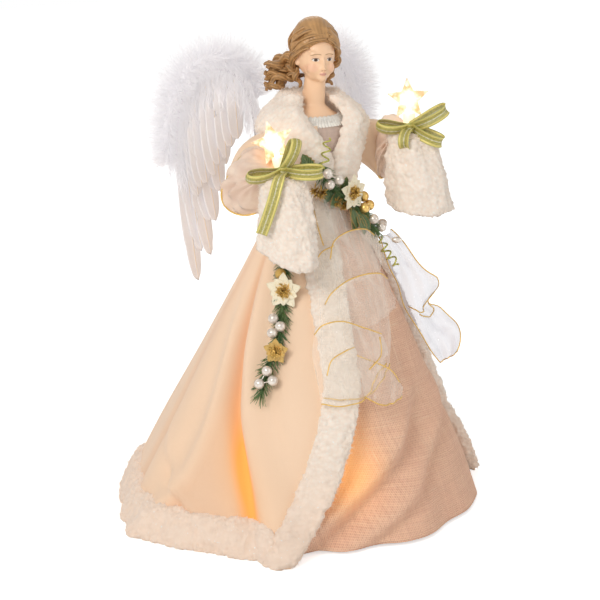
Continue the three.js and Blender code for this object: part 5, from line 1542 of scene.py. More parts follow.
class TOPPER_OT_hair(bpy.types.Operator):
    """Adds the modelled hair: combed back from the brow, with curls behind"""

    bl_idname = "topper.hair"
    bl_label = "Hair"

    def execute(self, context):
        rng = random.Random(4)
        parts = [shape(220, 110, combed_hair, marks={"groove": hair_groove})]
        # Locks that sweep from the temples over the ears to the nape
        for sign in (-1, 1):
            for k in range(3):
                lift = 1.5 * k
                places = [
                    (10.5, -12.5 + lift, 10 + lift), (14.2, -9.5 + lift, 8.5 + lift),
                    (16.8, -4.5 + lift, 4.5 + lift), (17.4, 3 + lift, -0.5 + lift),
                    (14.5, 12 + 0.5 * lift, -8 + lift), (8, 18, -13),
                ]
                parts.append(lock([mirrored(sign, p) for p in places], 2.7, 0.3 * k, 0.6))
        for places, radius in COMBED:
            for sign in (-1, 1):
                beside = [mirrored(sign, p) for p in places]
                beside[0].x += 3.5 - 1.5 * sign
                parts.append(lock(beside, radius, 0.37 * radius + 0.2 * sign, 0.5, 12))
        # Curls gathered behind, the upper ones swept to the figure's right
        for k in range(17):
            t = k / 16
            start = Vector((rng.uniform(-13, 0), rng.uniform(9, 18), lerp(2, -17, t)))
            reach = Vector((lerp(-25, -23, t), lerp(10, 1, t), lerp(-6, -8, t)))
            reach += Vector((rng.uniform(-5, 3), rng.uniform(-4, 5), rng.uniform(-4, 2)))
            curl = hanging(start, reach, (0, 2, 1.5), 0.75)
            parts.append(lock(curl, 2.9, 0.17 * k, 0.8, 9, 54, curl=2.3, turns=1.5 + 0.4 * (k % 3)))
        for k in range(9):
            start = Vector((rng.uniform(-2, 11), rng.uniform(12, 18), lerp(0, -16, k / 8)))
            reach = Vector((rng.uniform(2, 7), rng.uniform(1, 5), rng.uniform(-9, -4)))
            curl = hanging(start, reach, (1, 2, 0))
            parts.append(lock(curl, 2.4, 0.21 * k, 0.8, 8, 44, curl=2.2))
        for places, radius, winding in NECK_CURLS:
            parts.append(lock(places, radius, radius, 0.8, 8, 40, curl=winding, turns=1.6))
        whole = join(parts)
        moved(whole, FACE)
        piece("hair_cast", whole, hair_finish(colours()), "hair_resin", nodes=["hair"])
        return {"FINISHED"}


# Candles, lamps, stars and bows

HANDS = {"right": (-0.665, -0.43, -0.25), "left": (0.64, -0.46, -0.04)}
CANDLE_HEIGHT, CANDLE_RADIUS, CANDLE_BORE, FIST = 31.0, 5.0, 3.9, 8.0
LEAN = {"right": 17, "left": 4}
STAR_TURN = {"right": 28, "left": 40}
STAR_GLOW = {"right": 1.1, "left": 0.9}
STAR_RADIUS, STAR_INNER, STAR_THICK = 17.5, 8.05, 6.0


def candle_base(side):
    return arm_place(HANDS[side]) - up(0.6 * FIST)


def leaning(side):
    """The turn that leans a candle and what stands on it back to the figure's right."""
    middle = candle_base(side) + up(CANDLE_HEIGHT / 2)
    axis = up(1).cross(Vector((-0.77, 0.64, 0))).normalized()
    turn = Matrix.Rotation(math.radians(LEAN[side]), 4, axis)
    return Matrix.Translation(middle) @ turn @ Matrix.Translation(-middle)


def star_middle(side):
    notch = (STAR_RADIUS * math.cos(math.pi / 5) - STAR_INNER) / (STAR_RADIUS * math.sin(math.pi / 5))
    return candle_base(side) + up(CANDLE_HEIGHT + STAR_INNER + notch * (CANDLE_RADIUS + 0.3) + 0.3)


def candle_tube():
    wall = (
        (CANDLE_BORE, 0), (CANDLE_RADIUS - 0.3, 0), (CANDLE_RADIUS, 0.4),
        (CANDLE_RADIUS, CANDLE_HEIGHT - 0.8), (CANDLE_RADIUS - 0.5, CANDLE_HEIGHT),
        (CANDLE_BORE + 0.2, CANDLE_HEIGHT), (CANDLE_BORE, CANDLE_HEIGHT - 0.5),
    )
    bm = bmesh.new()
    rows = [bm.verts.new((r, 0, z)) for r, z in wall]
    edges = [bm.edges.new(pair) for pair in zip(rows, rows[1:] + rows[:1])]
    bmesh.ops.spin(
        bm, geom=rows + edges, cent=(0, 0, 0), axis=(0, 0, 1), angle=math.tau, steps=40,
        use_merge=True,
    )
    return bm


def star_cap():
    """A star of five points, thickest in the middle, lying flat."""
    bm = bmesh.new()
    bmesh.ops.create_circle(bm, segments=10, radius=STAR_RADIUS, cap_ends=True)
    for v in bm.verts:
        step = round((math.atan2(v.co.y, v.co.x) - math.pi / 2) / (math.pi / 5))
        v.co = (*polar(90 + 36 * step, STAR_INNER if step % 2 else STAR_RADIUS), 0)
    made = bmesh.ops.extrude_face_region(bm, geom=list(bm.faces))
    lifted = [v for v in made["geom"] if isinstance(v, bmesh.types.BMVert)]
    bmesh.ops.translate(bm, vec=up(STAR_THICK * 0.45), verts=lifted)
    bmesh.ops.translate(bm, vec=up(-STAR_THICK * 0.225), verts=bm.verts)
    for cap in [f for f in bm.faces if len(f.verts) == 10]:
        way = 1 if cap.calc_center_median().z > 0 else -1
        poked = bmesh.ops.poke(bm, faces=[cap])
        bmesh.ops.translate(bm, vec=up(way * STAR_THICK * 0.33), verts=poked["verts"])
    bmesh.ops.bevel(
        bm, geom=list(bm.edges), offset=0.35, affect="EDGES", segments=2, profile=0.5, material=-1
    )
    return bm


class TOPPER_OT_candles(bpy.types.Operator):
    """Adds the candle tubes, their lamps and the clear stars over them"""

    bl_idname = "topper.candles"
    bl_label = "Candles and stars"

    def execute(self, context):
        wax, glass = candle_finish(), bulb_finish()
        for side in SIDES:
            base, turn = candle_base(side), leaning(side)
            top = base + up(CANDLE_HEIGHT)
            bm = candle_tube()
            moved(bm, turn @ Matrix.Translation(base))
            piece("candle_tube_" + side, bm, wax, "candle_ivory", nodes=["candle_" + side])

            axis = Path([top + up(z) for z in (-10.4, -5, 0, 5, 9.2)], 40)
            bm = pipe(axis, lambda t: 2.15 * math.sqrt(max(0.02, 1 - t**8)), 20, 30)
            moved(bm, turn)
            node = "bulb_" + side
            piece("lamp_" + side, bm, glass, "lamp_glass", body=node, nodes=[node])

            bm, seat, node = star_cap(), star_middle(side), "star_" + side
            upright = Matrix.Rotation(math.pi / 2, 4, "X")
            facing = Matrix.Rotation(-math.radians(STAR_TURN[side]), 4, "Z")
            moved(bm, turn @ Matrix.Translation(seat) @ facing @ upright)
            clear = star_finish("Clear star " + side, STAR_GLOW[side], turn @ seat)
            piece("star_cap_" + side, bm, clear, "star_clear", body=node, nodes=[node], flat=True)
        return {"FINISHED"}


# Ways as seen in the photograph are given to the right, to the front and up. Each loop has the way
# that it points, its length, the way of its ribbon's width and a turn about its own length.
BOWS = {
    "right": [
        ((-0.98, 0.05, -0.14), 0.98, (0.1, 0.28, 1), -22), ((1, 0.12, 0.02), 1.0, (0, 0.12, 1), 6),
        ((0.36, 0.18, 0.95), 0.95, (1, 0.1, -0.3), 28),
    ],
    "left": [
        ((-1, 0.1, 0.1), 0.95, (0.05, 0.25, 1), -20), ((0.86, 0.1, 0.5), 1.08, (-0.45, 0.12, 1), 10),
        ((0.92, 0.16, -0.38), 0.92, (0.3, 0.2, 1), 2), ((-0.25, 0.55, -0.7), 0.62, (1, 0.1, -0.3), 26),
    ],
}
TAILS = {
    "right": [
        (0.02, 0.3, -0.02), (-0.1, 0.66, -0.12), (-0.24, 0.8, -0.6), (-0.4, 0.78, -1.1),
        (-0.56, 0.72, -1.55),
    ],
}
# A loop from the side, in shares of its length along it and in millimetres across it
LOOP_OUTLINE = (
    (0.04, 0.4), (0.2, 3.2), (0.45, 5.8), (0.72, 6.4), (0.94, 4.0), (1, 0.4), (0.93, -2.6),
    (0.68, -3.6), (0.34, -1.9), (0.04, -0.5),
)
WIDE_WAY, FRONT_WAY = Vector((0.766, -0.643, 0)), Vector((-0.643, -0.766, 0))
LOOP, RIBBON = 30.0, 9.0


def as_seen(way):
    right, front, height = way
    return WIDE_WAY * right + FRONT_WAY * front + up(height)


def ribbon_strip(route, way, along=60, cup=0.6):
    """A strip of ribbon along a route, wide across a given way, a little cupped."""
    path = Path(route, 90)

    def skin(u, v):
        tangent = path.tangent(v)
        wide = (way - tangent * way.dot(tangent)).normalized()
        s = 2 * u - 1
        return path.at(v) + wide * (s * 0.5 * RIBBON) + tangent.cross(wide) * (cup * s * s)

    return shape(8, along, skin, cloth=lambda u, v: (u, v * path.length / RIBBON))


def bow_loop(knot_at, heading, length, width_way, turning):
    """One loop of a bow, turned a little about its own length, so that its opening shows."""
    way, wide = as_seen(heading).normalized() * length * LOOP, as_seen(width_way).normalized()
    open_way = way.cross(wide).normalized()
    if open_way.dot(FRONT_WAY) < 0:
        open_way.negate()
    turn = Matrix.Rotation(math.radians(turning), 3, way)
    route = [knot_at + way * a + turn @ open_way * b for a, b in LOOP_OUTLINE]
    return ribbon_strip(route, turn @ wide, 84, 1.3)


class TOPPER_OT_bows(bpy.types.Operator):
    """Adds the ribbon bows tied round the candles"""

    bl_idname = "topper.bows"
    bl_label = "Bows"

    def execute(self, context):
        cloth = ribbon_finish(colours())
        for side in SIDES:
            middle = candle_base(side)
            middle.z = arm_place(CUFFS[side][0]).z + 4.0
            knot_at = middle + FRONT_WAY * 8.0
            parts = [bow_loop(knot_at, *row) for row in BOWS[side]]
            if side in TAILS:
                tail = [middle + as_seen(place) * LOOP for place in TAILS[side]]
                parts.append(ribbon_strip(tail, WIDE_WAY + up(0.25)))
            ring = [middle + Vector((*polar(15 * i, 5.6), 0)) for i in range(25)]
            band = Path(ring, 60, smooth=False)

            def belt(u, v, band=band):
                return band.at(v) + up((u - 0.5) * 6.6)

            hoop = shape(4, 60, belt, cloth=lambda u, v: (u, v * 4))
            moved(hoop, leaning(side))

            def knot(u, v, knot_at=knot_at):
                c, s = polar(360 * u, 4.2 - 0.8 * arch(v), 3.1)
                return knot_at + Vector((c, s, (v - 0.5) * 6.4))

            parts += [hoop, shape(28, 10, knot, ring=True, cloth=lambda u, v: (v, u * 3))]
            name, node = "bow_ribbon_" + side, "bow_" + side
            bow = piece(name, join(parts), cloth, "ribbon", nodes=[node], wall=0.35, turn=False)
        return {"FINISHED"}


# Wings

# Places on a wing are shares of its reach and of its height
REACH, WING_HEIGHT, WING_BASE, WING_BACK, HINGE, SWEEP = 87.0, 200.0, 191.0, 40.0, 12.0, 9.0
WING_ARM = [
    (0.07, 0.555), (0.13, 0.72), (0.28, 0.83), (0.5, 0.865), (0.72, 0.84), (0.88, 0.75),
    (0.94, 0.62), (0.94, 0.5),
]
QUILLS = [
    [(0.85, 0.68), (0.82, 0.5), (0.77, 0.3)], [(0.84, 0.74), (0.86, 0.4), (0.7, 0)],
    [(0.76, 0.79), (0.74, 0.44), (0.56, 0.1)], [(0.66, 0.82), (0.62, 0.5), (0.5, 0.24)],
    [(0.54, 0.83), (0.52, 0.56), (0.44, 0.36)], [(0.42, 0.82), (0.42, 0.62), (0.38, 0.47)],
    [(0.3, 0.8), (0.32, 0.68), (0.31, 0.56)],
]
COVERTS = [
    [(0.83, 0.7), (0.81, 0.56), (0.76, 0.42)], [(0.75, 0.78), (0.74, 0.6), (0.67, 0.44)],
    [(0.62, 0.82), (0.61, 0.64), (0.55, 0.5)], [(0.49, 0.84), (0.48, 0.7), (0.43, 0.57)],
    [(0.36, 0.82), (0.36, 0.72), (0.32, 0.62)],
]


def wing_place(sign, spot, back=0.0):
    out, height = spot
    x, y = sign * (HINGE + out * REACH), WING_BACK + out * SWEEP + back
    return Vector((x, y, WING_BASE + height * WING_HEIGHT))


def feather(sign, spots, width, back, seed, bow=0.0):
    """One feather: a cambered vane with a raised shaft, split here and there along its edges."""
    root, bend, tip = (wing_place(sign, p, back) for p in spots)
    bend = bend + Vector((0, -bow, 0))

    def skin(u, v):
        point = root * (1 - v) ** 2 + bend * (2 * v * (1 - v)) + tip * v * v
        along = ((bend - root) * (1 - v) + (tip - bend) * v).normalized()
        across = Vector((along.z, 0, -along.x)).normalized()
        s, rounded = 2 * u - 1, math.sqrt(max(0.0, 1 - v**7))
        split = abs(s) ** 6 * max(0, rumple(v * 9, seed * 3.1, math.copysign(2, s)) - 0.25)
        half = 0.5 * width * min(1, 0.3 + 2.0 * v) * rounded * (1 - 0.75 * split)
        tilt = sign * s * 0.16 * width * min(1, 2.5 * v) * rounded
        camber = -0.9 * (1 - s * s) - 0.35 * max(0, 1 - (7 * s) ** 2)
        ripple = tilt + camber + 0.5 * rumple(v * 4, s, seed)
        return point + across * (s * half) + Vector((0, ripple, 0.12 * split * width))

    return shape(14, 44, skin)


def between(rows, t):
    """A feather's three places at share t along a row of them."""
    k, mix = row_at(len(rows), t)
    return [tuple(lerp(a, b, mix) for a, b in zip(p, q)) for p, q in zip(rows[k], rows[k + 1])]


def down_strand(rng, sign, arm, boa, length, _):
    """A strand of the boa, or one of those that lie down over the feathers."""
    t = rng.random()
    if rng.random() < 0.3:
        inward = Vector((0.5 * sign * rng.uniform(-1, 0.6), 0, -1))
        start = arm.at(lerp(0.1, 1, t)) + inward * (-5 + 26 * rng.random() ** 1.6)
        start.y += rng.choice((-6, -6, 8))
        way = Vector((rng.uniform(-0.8, 0.8), rng.uniform(-0.4, 0.1), -1)).normalized()
        size = length * rng.uniform(0.4, 0.9)
    else:
        start = boa.around(t, rng.random(), 3.6)
        way = (start - boa.at(t)).normalized()
        way = (way + 0.55 * boa.tangent(t) * rng.uniform(-0.6, 1)).normalized()
        outer = (boa.at(t) - arm.at(lerp(0.2, 1, t))).normalized()
        size = length * rng.uniform(0.6, 1.15) * (0.75 + 0.4 * arch(t))
        size *= 0.72 + 0.38 * way.dot(outer)
    bend = Vector((rng.uniform(-1, 1), rng.uniform(-1, 1), rng.uniform(-1.1, 0.7)))
    half = way.cross(bend).normalized() * 0.15
    return bent(start, way * size, bend * (0.24 * size), half, 0.8, 4)


def quill(sign, k):
    """A long feather; every second one is a little shorter and lies further back."""
    root, bend, tip = between(QUILLS, k / 12)
    if k % 2:
        tip = (tip[0] + 0.02, tip[1] + 0.07)
    return feather(sign, (root, bend, tip), 22 if k < 9 else 19, 3.6 + 1.3 * (k % 2), k)


def covert(sign, rng, k):
    spots = between(COVERTS, k / 7)
    spots = [(x + rng.uniform(-0.01, 0.01), z + rng.uniform(-0.01, 0.02)) for x, z in spots]
    spots[2] = (spots[2][0] - 0.01, spots[2][1] - 0.06)
    return feather(sign, spots, 22, -2.6 - 1.1 * (k % 2), 40 + k, bow=1.2)


class TOPPER_OT_wings(bpy.types.Operator):
    """Adds the layered feathers and the down of both wings"""

    bl_idname = "topper.wings"
    bl_label = "Wings"

    def execute(self, context):
        vane, fluff = feather_finish(colours()), down_finish(colours())
        length, count = sizes().down_length / MM, sizes().down
        for side, sign in SIDES.items():
            rng, wing = random.Random(31 + sign), "wing_" + side
            name, node = "quill_feathers_" + side, "quills_" + side
            whole = join([quill(sign, k) for k in range(13)])
            piece(name, whole, vane, "feather", body=wing, nodes=[node], wall=0.25)
            name, node = "covert_feathers_" + side, "coverts_" + side
            whole = join([covert(sign, rng, k) for k in range(8)])
            piece(name, whole, vane, "feather", body=wing, nodes=[node], wall=0.25)

            arm = Path([wing_place(sign, p) for p in WING_ARM], 80)
            route = []
            for i in range(21):
                t = lerp(0.2, 1, i / 20)
                along = arm.tangent(t)
                out = Vector((-sign * along.z, 0, sign * along.x)).normalized()
                route.append(arm.at(t) + out * 8.5)
            boa = Path(route, 80)
            core = pipe(boa, lambda t: 4.4 * (0.5 + 0.5 * arch(clamp(0.1 + 0.85 * t))), 16, 60)
            curl_pile(core, 4.0, 1.6, 2)
            loose = strands(count, 4, partial(down_strand, rng, sign, arm, boa, length))
            whole, node = join([core, loose]), "marabou_" + side
            piece("marabou_down_" + side, whole, fluff, "down", body=wing, nodes=[node], turn=False)
        return {"FINISHED"}


# Garland

STEM, PEARL, BERRY, FLOWER = 1.5, 4.2, 4.4, 15.0
WAIST_LIFT = 9 + 0.9 + STEM
BEAD_LIFT = STEM + 0.3 + 0.27
DROP_LIFT = 0.3
# Angle and share: at the waist of 100 mm up from it, on the robe of the height up to the waist
WAIST_STEM = [
    (-27, 0.33), (-22, 0.22), (-12, 0.1), (3, 0.03), (16, -0.03), (27, -0.14), (35, -0.25),
    (40, -0.32),
]
DROP_STEM = [(-66, 0.93), (-64, 0.87), (-63, 0.8), (-59, 0.7), (-58, 0.6), (-61, 0.52), (-62, 0.46)]


def at_waist(spot, out=0.0):
    angle, share = spot
    return on_figure(angle, WAIST + 100 * share, ROBE_OUTER + WAIST_LIFT + out)


def waist_place(p):
    return Vector((p[0] * 100, -FORWARD + p[1] * 100, WAIST + p[2] * 100))


def on_robe(spot, off):
    angle, z = spot[0], spot[1] * WAIST
    fold = robe_fold(angle, z)
    return on_figure(angle, z, ROBE_OUTER + off, HEM, max(0.0, fold, fold + robe_crease(angle, z)))


def waist_bead(spot, radius):
    return at_waist(spot, BEAD_LIFT + radius)


def drop_bead(spot, radius):
    return on_robe(spot, DROP_LIFT + STEM + BEAD_LIFT + radius)


# Each stem's needles: how many, the shares of the stem that they cover and how far they rise
NEEDLES = {"waist": (420, (0.02, 0.9), 0.75), "drop": (620, (0.03, 1.0), 0.5)}
# Roots and tips of the leaves; the first three stand on the twig
LEAVES = (
    ((9, -0.07), (2, -0.22)), ((14, -0.1), (13, -0.27)), ((19, -0.11), (23, -0.25)),
    ((-35, 0.24), (-44, 0.41)), ((-16, 0.1), (-24, 0.0)), ((24, -0.05), (33, -0.16)),
    ((-6, 0.09), (-17, -0.04)), ((8, -0.05), (6, -0.21)), ((-3, 0.08), (4, 0.2)),
)
# Places along the middle of each coil, in shares of 100 mm from the waist
TENDRILS = {
    "top": [(-0.206, -0.373, 0.29), (-0.18, -0.365, 0.4), (-0.15, -0.36, 0.53)],
    "side": [(0.37, -0.414, -0.325), (0.4, -0.46, -0.46), (0.48, -0.51, -0.57)],
}


def pine_needle(route, rng, length, covered, rise, _):
    t = rng.uniform(*covered)
    root, along = route.at(t), route.tangent(t)
    out = outwards(root)
    across = along.cross(out).normalized()
    c, s = polar(rng.uniform(-100, 100))
    way = across * (s * rng.uniform(0.8, 1.0)) + out * (max(0.0, c) * rise)
    way += along * rng.uniform(0.35, 1.1)
    if t > 0.97:
        way = along + across * rng.uniform(-0.9, 0.9) + out * rng.uniform(0, 0.3)
    way = way.normalized()
    half = way.cross(stray(rng)).normalized() * 0.42
    size = length * rng.uniform(0.65, 1.05)
    return bent(root, way * size, up(-0.08 * size), half, 0.22 / 0.42, 2)


def leaf_skin(start, stop, u, v):
    """A pointed leaf with a sawn edge, raised at its sides and bowed along its length."""
    along, out, span = (stop - start).normalized(), outwards(start), (stop - start).length
    wide = along.cross(out).normalized()
    s = 2 * u - 1
    saw = 1 + 0.12 * wave(6 * v) * abs(s) ** 3
    half = 0.3 * span * saw * arch(min(1, 0.05 + 0.95 * v)) ** 0.8
    rise = span * (0.2 * abs(s) * half / span + 0.12 * v - 0.2 * v * v)
    return start + along * (span * v) + wide * (s * max(0.15, half)) + out * rise


def coil(axis, turns, t):
    along = axis.tangent(t)
    a = (Vector((1, 0, 0)) - along * along.x).normalized()
    c, s = polar(360 * turns * t, 3.2 * min(1, 6 * t, 6 * (1 - t) + 0.4))
    return axis.at(t) + a * c + along.cross(a) * s


def wire_finish():
    f = Finish("Gold-green wire", metallic=0.5, roughness=0.4)
    twist = f.noise(900, 2)
    f.set(base_color=f.mix(twist.step(0.4, 0.6), (0.36, 0.4, 0.07), (0.55, 0.5, 0.14)))
    return f.bump(twist, 0.15, 0.6).material


class TOPPER_OT_greens(bpy.types.Operator):
    """Adds the pine stems of the garland, its leaves and its tendrils"""

    bl_idname = "topper.greens"
    bl_label = "Garland greens"

    def execute(self, context):
        green, length = pine_finish(colours()), sizes().needle / MM
        stems = {
            "waist": [at_waist(s) for s in WAIST_STEM],
            "drop": [on_robe(s, DROP_LIFT + STEM) for s in DROP_STEM],
        }
        for key, places in stems.items():
            route, rng = Path(places, 60), random.Random(len(key))
            stem = pipe(route, lambda t: 1.1 + 0.25 * math.sin(150 * t), 8, 120)
            count, covered, rise = NEEDLES[key]
            needles = strands(count, 2, partial(pine_needle, route, rng, length, covered, rise))
            whole, node = join([stem, needles]), f"garland_{key}_stem"
            piece(f"pine_{key}", whole, green, "pine", nodes=[node], wall=0.15, turn=False)

        parts = []
        for k, (root, tip) in enumerate(LEAVES):
            start, stop = at_waist(root, BEAD_LIFT), at_waist(tip, BEAD_LIFT + (0 if k < 3 else 1))
            parts.append(shape(12, 26, partial(leaf_skin, start, stop)))
        twig = Path([at_waist(root, BEAD_LIFT) for root, _ in LEAVES[:3]], 20)
        whole, leaf = join([*parts, pipe(twig, 0.8, 8, 16)]), leaf_finish(colours())
        piece("garland_leaves", whole, leaf, "leaf_cloth", nodes=["leaves_waist"], wall=0.3, turn=False)

        thread = wire_finish()
        for key, spots in TENDRILS.items():
            axis = Path([waist_place(s) for s in spots], 80)
            turns = math.floor(axis.length / 6.8)
            count = 26 * turns
            wound = [coil(axis, turns, i / count) for i in range(count + 1)]
            bm = pipe(Path(wound, count, smooth=False), 0.7, 8, count)
            piece("tendril_wire_" + key, bm, thread, "leaf_wire", nodes=["tendril_" + key])
        return {"FINISHED"}


def threaded(places, radius):
    """Round beads and the wire that they are threaded on."""
    parts = [egg(p, (radius,) * 3, 28, 14) for p in places]
    for a, b in zip(places, places[1:]):
        parts.append(pipe(Path([a, a.lerp(b, 0.5), b], 6), 0.5, 6, 4))
    return join(parts)


def flower_parts(centre, out, petals, size, width, seed):
    """Pointed petals round a cluster of glittering grains; gives petals and grains."""
    across = up(1).cross(out).normalized()
    rise = out.cross(across).normalized()
    leaves, rng = [], random.Random(seed)
    for ring in range(2):
        for i in range(petals):
            cc, ss = polar(360 * (i + 0.25 + 0.5 * ring) / petals)
            heading = across * cc + rise * ss
            wide = out.cross(heading).normalized()
            span = size * (1 if ring == 0 else 0.78)

            def skin(u, v, heading=heading, wide=wide, span=span, ring=ring, i=i):
                s = 2 * u - 1
                half = 0.5 * width * max(0.05, arch(min(1, 0.16 + 0.84 * v)) ** 0.8)
                lift = span * (0.2 * v - 0.16 * v * v + 0.05 * (i % 2) * v) + 0.5 * ring
                return centre + heading * (span * v) + wide * (half * s) + out * (lift + 0.7 * s * s)

            leaves.append(shape(8, 16, skin))
    grains = []
    for _ in range(80):
        z = rng.uniform(0.0, 1)
        cc, ss = polar(rng.uniform(0, 360), math.sqrt(1 - z * z))
        aside = (across * cc + rise * ss) * (0.42 * size * rng.uniform(0.4, 1))
        place = Matrix.Translation(centre + aside + out * (4.2 * z + 0.8))
        radius = rng.uniform(0.55, 1.05)
        bm = bmesh.new()
        bmesh.ops.create_icosphere(bm, subdivisions=1, radius=radius, matrix=place)
        grains.append(bm)
    return join(leaves), join(grains)


def shard(rng, spot, _):
    """A flat sliver of glitter that stands out from a spot on the figure."""
    out = outwards(spot)
    c, s = polar(rng.uniform(0, 360))
    across = up(1).cross(out).normalized()
    way = (across * c + up(s) + out * rng.uniform(0.1, 1.4)).normalized()
    half = way.cross(Vector((rng.uniform(-1, 1), rng.uniform(-1, 1), 1))).normalized()
    size = rng.uniform(3.5, 7.5)
    return [(spot + way * (size * q), half * w) for q, w in ((0, 0.25), (0.6, 0.75), (1, 0.1))]


class TOPPER_OT_beads(bpy.types.Operator):
    """Adds the pearls, gold berries and flowers of the garland"""

    bl_idname = "topper.beads"
    bl_label = "Garland beads and flowers"

    def execute(self, context):
        c = colours()
        pearl, gold = pearl_finish(c), lacquer_finish(c)
        glitter = glitter_finish(c)
        clusters = {
            "pearls_waist": (waist_bead, [(-21.8, 0.249), (-9.9, 0.191), (-19.6, 0.161)]),
            "pearls_side": (waist_bead, [(30, -0.167), (39, -0.245), (49, -0.24)]),
            "gold_berries_waist": (waist_bead, [(32, 0.01), (23, -0.068), (36, -0.065)]),
            "pearls_drop_upper": (drop_bead, [(-62, 0.675), (-57, 0.655), (-61, 0.635)]),
            "pearls_drop_lower": (drop_bead, [(-60, 0.53), (-62.5, 0.493), (-56.5, 0.505)]),
            "gold_ball_drop": (drop_bead, [(-63, 0.8), (-60, 0.845)]),
        }
        for node, (bead, spots) in clusters.items():
            radius, finish, slot = BERRY, gold, "gold_paint"
            if node == "gold_ball_drop":
                finish = glitter
            elif node.startswith("pearls"):
                radius, finish, slot = PEARL, pearl, "pearl"
            beads = threaded([bead(spot, radius) for spot in spots], radius)
            piece(node + "_round", beads, finish, slot, nodes=[node])

        cream = petal_finish(c, "Cream petals", c.petal, 1.0)
        golden = petal_finish(c, "Gold petals", shaded(c.gold, 0.85), 3.0)
        lift = STEM + 0.3 + 5.0
        off = DROP_LIFT + STEM + lift
        flowers = {
            "flower_waist": (at_waist((7.4, 0.074), lift), FLOWER, 9.5, cream),
            "flower_drop_upper": (on_robe((-58.2, 0.755), off), FLOWER, 9.5, cream),
            "flower_drop_lower": (on_robe((-57, 0.587), off), 10.5, 7.5, golden),
        }
        for k, (node, (centre, size, width, cloth)) in enumerate(flowers.items()):
            petals, grains = flower_parts(centre, outwards(centre), 5, size, width, k)
            slot = "petal_cloth" if cloth is cream else "gold_petal"
            piece(node + "_petals", petals, cloth, slot, nodes=[node], wall=0.3, turn=False)
            piece(node + "_grains", grains, glitter, "gold_paint")

        rng = random.Random(8)
        spots = [at_waist(s, 3.5) for s in ((-35, 0.11), (-31, 0.09), (-27, 0.1), (-10, 0.01), (-1, -0.02))]
        spots += [centre + outwards(centre) * 2.5 for centre, *_ in flowers.values()] * 2
        sprigs = [strands(22, 2, partial(shard, rng, spot)) for spot in spots]
        piece("glitter_sprigs", join(sprigs), glitter, "gold_paint", wall=0.15, turn=False)

        start = waist_place((0.37, -0.414, -0.325))
        tip = start + Vector((7.6, -6.4, -3.0))
        stalk = pipe(Path([start, start.lerp(tip, 0.5) + up(2), tip], 20), 0.45, 6, 16)
        tilt = Matrix.Rotation(math.radians(-40), 4, "Z")
        oval = egg(tip + Vector((2.6, -2.2, 0)), (4.4, 2.7, 2.7), 24, 14, tilt)
        piece("pearl_oval", join([oval, stalk]), pearl, "pearl")
        return {"FINISHED"}


# Organza

# Each puff of the front fall: rows from its upper edge to its lower one, each a list of
# (angle, height, distance from the figure's surface)
PUFFS = (
    [
        [(-36, 257, 12.6), (-22, 257, 13), (-6, 256, 13), (12, 252, 12.6), (24, 246, 12.6)],
        [(-35, 190, 12.6), (-22, 190, 13), (-10, 190, 13), (4, 190, 12.6), (15, 190, 12.6)],
        [(-34, 121, 12.6), (-25, 119, 13), (-15, 120, 13), (-6, 130, 12.6), (0, 140, 12.6)],
    ],
    [
        [(-54, 268, 13), (-41, 272, 15), (-25, 269, 17), (-8, 262, 15)],
        [(-50, 257, 17), (-37, 258, 20), (-21, 255, 21), (-5, 252, 17)],
        [(-43, 243, 13), (-31, 236, 14), (-17.5, 235, 15), (-2, 240, 14)],
    ],
    [
        [(-37, 218, 14), (-31.4, 227, 17), (-21, 231, 17)],
        [(-37, 211, 18), (-29, 212, 21), (-19, 216, 19)],
        [(-36, 204, 13), (-29, 196, 14), (-18, 201, 14)],
    ],
    [
        [(-26, 222, 19), (-22, 235, 22), (-8.8, 241, 22), (11, 240.5, 21), (26, 233, 17)],
        [(-27, 216, 22), (-18, 223, 26), (-4, 226, 27), (13, 225, 24), (25, 222, 18)],
        [(-24, 210, 14), (-14.5, 204, 14), (0, 203, 13.5), (18.6, 208, 13), (25, 212, 13)],
    ],
    [
        [(-32, 189, 17), (-28, 198, 21), (-17.8, 206, 22), (-4.5, 209, 22), (9.2, 207, 20), (20, 200, 15)],
        [(-33, 182, 21), (-24, 187, 26), (-13, 191, 27), (-3, 191, 25), (9, 189, 21), (20, 187, 16)],
        [(-31, 175, 14), (-23, 170, 14), (-12, 169, 14), (-2, 170, 13.5), (8, 174, 13.5), (18, 178, 13)],
    ],
    [
        [(-38, 167, 15), (-33.5, 175, 20), (-24.3, 177.5, 22), (-12.7, 171, 21), (-1.2, 163, 16)],
        [(-39, 155, 20), (-31, 158, 25), (-20, 158, 26), (-10, 154, 23), (-1, 150, 18)],
        [(-37, 137, 19), (-29, 139, 22), (-20, 140, 22), (-10, 142, 19), (-3, 145, 15)],
        [(-35, 117, 13.5), (-26.7, 115, 15), (-17, 118, 14), (-8.6, 134, 13.5), (-2, 141, 13.5)],
    ],
    [
        [(-17, 150, 14), (-10.3, 145, 18), (-2.5, 137, 18), (2.4, 125, 14)],
        [(-18, 133, 18), (-10, 130, 21), (-4, 126, 19), (2.4, 120, 15)],
        [(-16, 119, 13.5), (-9, 112, 14), (-3, 112, 13), (2, 115, 13)],
    ],
)
# Places along the short wires that run over the puffs, given alike
SHORT_WIRES = (
    [(-33, 140, 25), (-31, 151, 27), (-25, 157, 27), (-20, 159, 25)],
    [(-4, 162, 19), (-7, 150, 22), (-14, 141, 22)],
    [(-36, 258, 14), (-33, 244, 18), (-30, 232, 19)],
)


